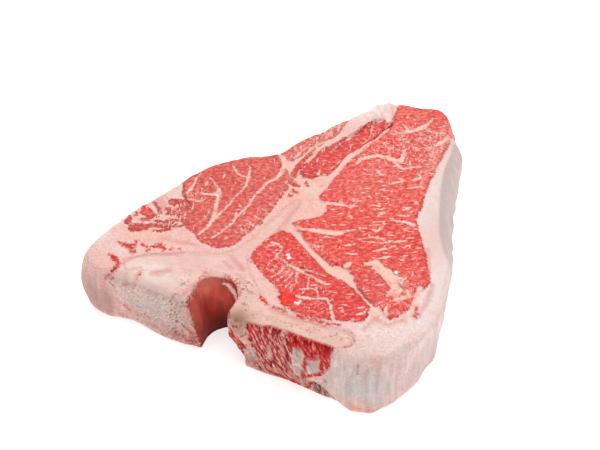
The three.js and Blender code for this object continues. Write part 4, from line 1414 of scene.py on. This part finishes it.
def beef_fat_group():
    """Colour and height of fat, from its ground colour."""
    tree, place = new_group("beef fat")
    ground = add(tree, "ShaderNodeAttribute", attribute_name="fat_colour").outputs["Color"]
    lively = add(tree, "ShaderNodeAttribute", attribute_name="lively").outputs["Fac"]
    upright = upright_share(tree)
    upright = add(tree, "ShaderNodeMath", {0: upright, 1: lively}, operation="MULTIPLY").outputs[0]
    patterns = []
    for width, detail in ((CLOUD_WIDTH, 4), (GRAIN_WIDTH, 2)):
        patterns.append(add(
            tree, "ShaderNodeTexNoise",
            {"Vector": place, "Scale": 1 / width, "Detail": detail, "Roughness": 0.6},
        ).outputs["Fac"])
    patterns.append(stretched_noise(tree, place, (0, 0, 0), FOLD_GRAIN))
    clouds, grain, folds = (
        add(tree, "ShaderNodeMix", {0: share, 2: 0.5, 3: pattern}, data_type="FLOAT").outputs[0]
        for share, pattern in zip((lively, lively, upright), patterns)
    )
    most = add(tree, "ShaderNodeMapRange", {0: upright, 3: PINK_ON_TOP, 4: PINK_ON_WALLS}).outputs[0]
    pink = add(tree, "ShaderNodeMapRange", {0: clouds, 1: 0.52, 2: 0.7, 3: 0, 4: most}).outputs[0]
    colour = layered(tree, ground, (pink, PINK_CLOUD_COLOUR))
    colour = shaded(tree, colour, grain, 0.84, 1.11)
    colour = shaded(tree, colour, folds, 0.84, 1.2)
    height = add(
        tree, "ShaderNodeMath", {0: folds, 1: FOLD_RELIEF, 2: grain}, operation="MULTIPLY_ADD"
    ).outputs[0]
    add(tree, "NodeGroupOutput", {"Colour": colour, "Height": height})
    return tree


# %% [markdown]
# ## Sawn bone
# The saw leaves bone matt and a little rough. On the cut face it is dense and smooth, with pink threads and
# brownish specks where small vessels were cut. On the front the spongy inside shows: slanting dark pores
# in grey-white, and the marrow, whose paints are mixed from dark to light along slanting strands.

# %% Sawn bone
SPECK_WIDTH = 1.5
SPECK_EDGE = 0.1
SPECK_COVER = 0.6
THREAD_SIZE = (9, 1.8, 9)
THREAD_TURN = (0, 0, -14)
PORE_SIZE = (1.1, 3, 2.8)
PORE_TURN = (0, -30, 0)
PORE_EDGE = 0.08
PORE_COVER = 0.75
PORE_RELIEF = 3
SAW_WAVES_RELIEF = 7
STRAND_SIZE = (1.3, 3, 4)
STRAND_TURN = (0, 24, 0)
PINK_THREAD_COLOUR = "#eaa8a0"
SPECK_COLOUR = "#9c7468"
PORE_COLOUR = "#7d5448"
PAINT_RAGGEDNESS = 3


def sawn_bone_group():
    """Colour and height of bone: dense above, spongy with marrow on the saw cut."""
    tree, place = new_group("sawn bone")
    ground = add(tree, "ShaderNodeAttribute", attribute_name="bone_colour").outputs["Color"]
    clouds, specks = (
        add(
            tree, "ShaderNodeTexNoise",
            {"Vector": place, "Scale": 1 / width, "Detail": detail, "Roughness": roughness},
        ).outputs["Fac"]
        for width, detail, roughness in ((CLOUD_WIDTH, 5, 0.65), (SPECK_WIDTH, 2, 0.7))
    )
    colour = shaded(tree, ground, clouds, 0.94, 1.13)
    speckled = add(tree, "ShaderNodeAttribute", attribute_name="speckled").outputs["Fac"]
    level = add(tree, "ShaderNodeMapRange", {0: speckled, 1: -2, 2: 3.5, 3: 0.74, 4: 0.52}).outputs[0]
    dark = over_level(tree, specks, level, SPECK_EDGE, SPECK_COVER)
    threads = stretched_noise(tree, place, THREAD_TURN, THREAD_SIZE, detail=3)
    pink = add(tree, "ShaderNodeMapRange", {0: threads, 1: 0.48, 2: 0.68, 3: 0, 4: 0.42}).outputs[0]
    colour = layered(tree, colour, (pink, PINK_THREAD_COLOUR), (dark, SPECK_COLOUR))

    pores = stretched_noise(tree, place, PORE_TURN, PORE_SIZE)
    sawn = add(tree, "ShaderNodeAttribute", attribute_name="sawn").outputs["Fac"]
    sawn = add(tree, "ShaderNodeMapRange", {0: sawn, 1: -0.5, 2: 0.5}).outputs[0]
    rough = add(
        tree, "ShaderNodeMapRange", {0: pores, 1: NOISE_LOW, 2: NOISE_HIGH, 3: 1.2, 4: 0.76}
    ).outputs[0]
    rough = add(tree, "ShaderNodeMix", {0: sawn, 2: 1.0, 3: rough}, data_type="FLOAT").outputs[0]
    colour = add(tree, "ShaderNodeVectorMath", {0: colour, "Scale": rough}, operation="SCALE").outputs[0]
    level = add(tree, "ShaderNodeMapRange", {0: speckled, 1: -4, 2: 2, 3: 0.67, 4: 0.56}).outputs[0]
    pore = over_level(tree, pores, level, PORE_EDGE, PORE_COVER)
    pore = add(tree, "ShaderNodeMath", {0: pore, 1: sawn}, operation="MULTIPLY").outputs[0]
    colour = layered(tree, colour, (pore, PORE_COLOUR))

    strands = stretched_noise(tree, place, STRAND_TURN, STRAND_SIZE, detail=3)
    for name, (_, softness, stops) in FRONT_PAINTS.items():
        depth = add(tree, "ShaderNodeAttribute", attribute_name=name).outputs["Fac"]
        ragged = add(
            tree, "ShaderNodeMath", {0: specks, 1: PAINT_RAGGEDNESS, 2: depth}, operation="MULTIPLY_ADD"
        ).outputs[0]
        edge = PAINT_RAGGEDNESS / 2
        cover = add(
            tree, "ShaderNodeMapRange", {0: ragged, 1: edge - softness, 2: edge + softness}
        ).outputs[0]
        cover = add(tree, "ShaderNodeMath", {0: cover, 1: sawn}, operation="MULTIPLY").outputs[0]
        mixed = add(tree, "ShaderNodeValToRGB", {0: strands})
        steps = mixed.color_ramp.elements
        while len(steps) < len(stops):
            steps.new(0.5)
        for step, (position, hex_colour) in zip(steps, stops):
            step.position = position
            step.color = colour_of(hex_colour)
        colour = layered(tree, colour, (cover, mixed.outputs["Color"]))
    height = specks
    for pattern, amount in ((pores, -PORE_RELIEF), (clouds, SAW_WAVES_RELIEF)):
        shown = add(tree, "ShaderNodeMath", {0: pattern, 1: sawn}, operation="MULTIPLY").outputs[0]
        height = add(
            tree, "ShaderNodeMath", {0: shown, 1: amount, 2: height}, operation="MULTIPLY_ADD"
        ).outputs[0]
    add(tree, "NodeGroupOutput", {"Colour": colour, "Height": height})
    return tree


# %% [markdown]
# ## One steak, five materials
# The tissues meet in ragged lines, so each material can show all of them: the depths decide which colour
# shows where, from the fat at the bottom to the canal at the top. Only roughness and shine differ by
# tissue. They are constants on the shader itself. Each cover below has a raggedness in mm, by which noise
# moves its edge in and out, and a softness of that edge.

# %% Steak materials
EDGE_NOISE_WIDTH = 1.3
RAGGED_EDGE = 1.5
RELIEF_HEIGHT = 0.35
RELIEF_STRENGTH = 0.8
MOIST_IOR = 1.42
VEIN_FADE_LENGTH = 4
VEIN_TINT = 0.68
BLUSH_SHARE = 0.6
# How strongly the painted shade of the creases shows.
CREASE_SHADE_SHARE = 0.8
VEIN_COLOUR = "#fdcdb8"
BLOOD_COLOUR = "#e08070"
# The colour of the painted highlights.
GLINT_COLOUR = "#fff8f2"
# The dark red of the creases is painted shade.
CREASE_SHADE_COLOUR = "#7a2822"
STREAK_SIZE = (4, 4, 8)
TORN_EDGE_COLOUR = "#7e120e"
MEMBRANE_COLOUR = "#ffd9cc"
BLUSH_COLOUR = "#e08f88"
# Painted shade inside the open slit.
SLIT_SHADE_COLOUR = "#5e1512"

LEAN = raw_lean_group()
FAT = beef_fat_group()
BONE = sawn_bone_group()


def steak_material(name, roughness, shine):
    """A material for one tissue of the steak, which runs on into its neighbours."""
    material = bpy.data.materials.new(name)
    material.use_nodes = True
    tree = material.node_tree
    shader = tree.nodes["Principled BSDF"]
    place = place_in_mm(tree)
    lean, fat, bone = (add(tree, "ShaderNodeGroup", node_tree=group).outputs for group in (LEAN, FAT, BONE))
    jitter = add(
        tree, "ShaderNodeTexNoise", {"Vector": place, "Scale": 1 / EDGE_NOISE_WIDTH, "Detail": 2}
    ).outputs["Fac"]
    jitter = add(tree, "ShaderNodeMath", {0: jitter, 1: 0.5}, operation="SUBTRACT").outputs[0]

    covers = {}
    for field, ragged, softness in (
        ("lean", RAGGED_EDGE, 0.35),
        ("vein", RAGGED_EDGE * 0.8, 0.35),
        ("blood", RAGGED_EDGE * 1.5, 0.6),
        ("crease", RAGGED_EDGE * 0.5, 0.5),
        ("glint", RAGGED_EDGE, 0.3),
        ("slit", 0.2, 0.4),
        ("blush", RAGGED_EDGE, 1.1),
        ("bone", RAGGED_EDGE, 0.8),
        ("canal", RAGGED_EDGE * 1.6, 0.8),
        ("membrane", RAGGED_EDGE * 1.4, 0.7),
    ):
        depth = add(tree, "ShaderNodeAttribute", attribute_name=field).outputs["Fac"]
        depth = add(
            tree, "ShaderNodeMath", {0: jitter, 1: 2 * ragged, 2: depth}, operation="MULTIPLY_ADD"
        ).outputs[0]
        covers[field] = add(tree, "ShaderNodeMapRange", {0: depth, 1: -softness, 2: softness}).outputs[0]
    # The last depth is the membrane's. Just outside it lies its dark torn edge.
    torn_edge = add(tree, "ShaderNodeMapRange", {0: depth, 1: -1, 2: -0.3}).outputs[0]

    fading = add(
        tree, "ShaderNodeTexNoise", {"Vector": place, "Scale": 1 / VEIN_FADE_LENGTH}
    ).outputs["Fac"]
    fading = add(tree, "ShaderNodeMapRange", {0: fading, 1: 0.3, 2: 0.5, 3: 0.5, 4: 1}).outputs[0]
    vein = add(tree, "ShaderNodeMath", {0: covers["vein"], 1: fading}, operation="MULTIPLY").outputs[0]
    clear = add(tree, "ShaderNodeMath", {0: 1.0, 1: vein}, operation="SUBTRACT").outputs[0]
    red = add(tree, "ShaderNodeMath", {0: covers["lean"], 1: clear}, operation="MULTIPLY").outputs[0]
    red = add(tree, "ShaderNodeMath", {0: red, 1: covers["blood"]}, operation="MAXIMUM").outputs[0]
    for field, share in (("vein", VEIN_TINT), ("blush", BLUSH_SHARE), ("crease", CREASE_SHADE_SHARE)):
        covers[field] = add(
            tree, "ShaderNodeMath", {0: covers[field], 1: share}, operation="MULTIPLY"
        ).outputs[0]
    bright = add(
        tree, "ShaderNodeMix", {0: covers["blood"], 6: lean[0], 7: colour_of(BLOOD_COLOUR)},
        data_type="RGBA", blend_type="SOFT_LIGHT",
    ).outputs[2]
    # The canal's colour carries painted light at its upper left and painted shade deep inside.
    canal = add(tree, "ShaderNodeAttribute", attribute_name="canal_colour_light_and_shade").outputs["Color"]
    streaks = stretched_noise(tree, place, (0, 0, 0), STREAK_SIZE)
    canal = shaded(tree, canal, streaks, 0.8, 1.22)
    canal = layered(tree, canal, (torn_edge, TORN_EDGE_COLOUR), (covers["membrane"], MEMBRANE_COLOUR))
    # Over the tissues go painted shade in the slit and the creases, painted highlights for the glints, and
    # the canal with its painted light and shade.
    colour = layered(
        tree,
        fat[0],
        (covers["bone"], bone[0]),
        (covers["blush"], BLUSH_COLOUR),
        (covers["vein"], VEIN_COLOUR),
        (red, bright),
        (covers["slit"], SLIT_SHADE_COLOUR),
        (covers["crease"], CREASE_SHADE_COLOUR),
        (covers["glint"], GLINT_COLOUR),
        (covers["canal"], canal),
    )

    height = fat[1]
    for cover, above in ((red, lean[1]), (covers["bone"], bone[1])):
        height = add(tree, "ShaderNodeMix", {0: cover, 2: height, 3: above}, data_type="FLOAT").outputs[0]
    relief = add(
        tree, "ShaderNodeBump",
        {"Height": height, "Distance": RELIEF_HEIGHT * MM, "Strength": RELIEF_STRENGTH},
    )
    tree.links.new(colour, shader.inputs["Base Color"])
    tree.links.new(relief.outputs[0], shader.inputs["Normal"])
    shader.inputs["Roughness"].default_value = roughness
    shader.inputs["IOR"].default_value = MOIST_IOR
    shader.inputs["Specular IOR Level"].default_value = shine
    return material


MATERIALS = {
    "strip_muscle": steak_material("raw strip loin muscle", 0.42, 0.5),
    "tender_muscle": steak_material("raw tenderloin muscle", 0.45, 0.5),
    "flank_muscle": steak_material("raw flank muscle", 0.42, 0.5),
    "fat": steak_material("beef fat", 0.5, 0.5),
    "bone": steak_material("sawn beef bone", 0.6, 0.2),
}
print("materials:", list(MATERIALS))

# %% [markdown]
# ## Floor finish
# A plain white paper floor. It gives off a little light of its own, so that it stays white up to the
# horizon and the steak throws only a faint shadow.

# %% Floor finish
PAPER_FINISH = {
    "Base Color": (0.9, 0.9, 0.9, 1),
    "Roughness": 0.9,
    "Specular IOR Level": 0.1,
    "Emission Color": (1, 1, 1, 1),
    "Emission Strength": 0.5,
}

paper = bpy.data.materials.new("white paper")
paper.use_nodes = True
for name, value in PAPER_FINISH.items():
    paper.node_tree.nodes["Principled BSDF"].inputs[name].default_value = value
floor.data.materials.append(paper)
print("floor finished")

# %% [markdown]
# ## Hand the pieces to the frame
# Each piece stands for one node, rides on the steak's only body and takes its finish from its slot.

# %% Hand over
slots = {row["node"]: row["material_slot"] for row in frame["record"]["subparts"]}
for node, piece in pieces.items():
    piece.data.materials.clear()
    piece.data.materials.append(MATERIALS[slots[node]])
    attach(piece, "root")
    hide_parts(node)
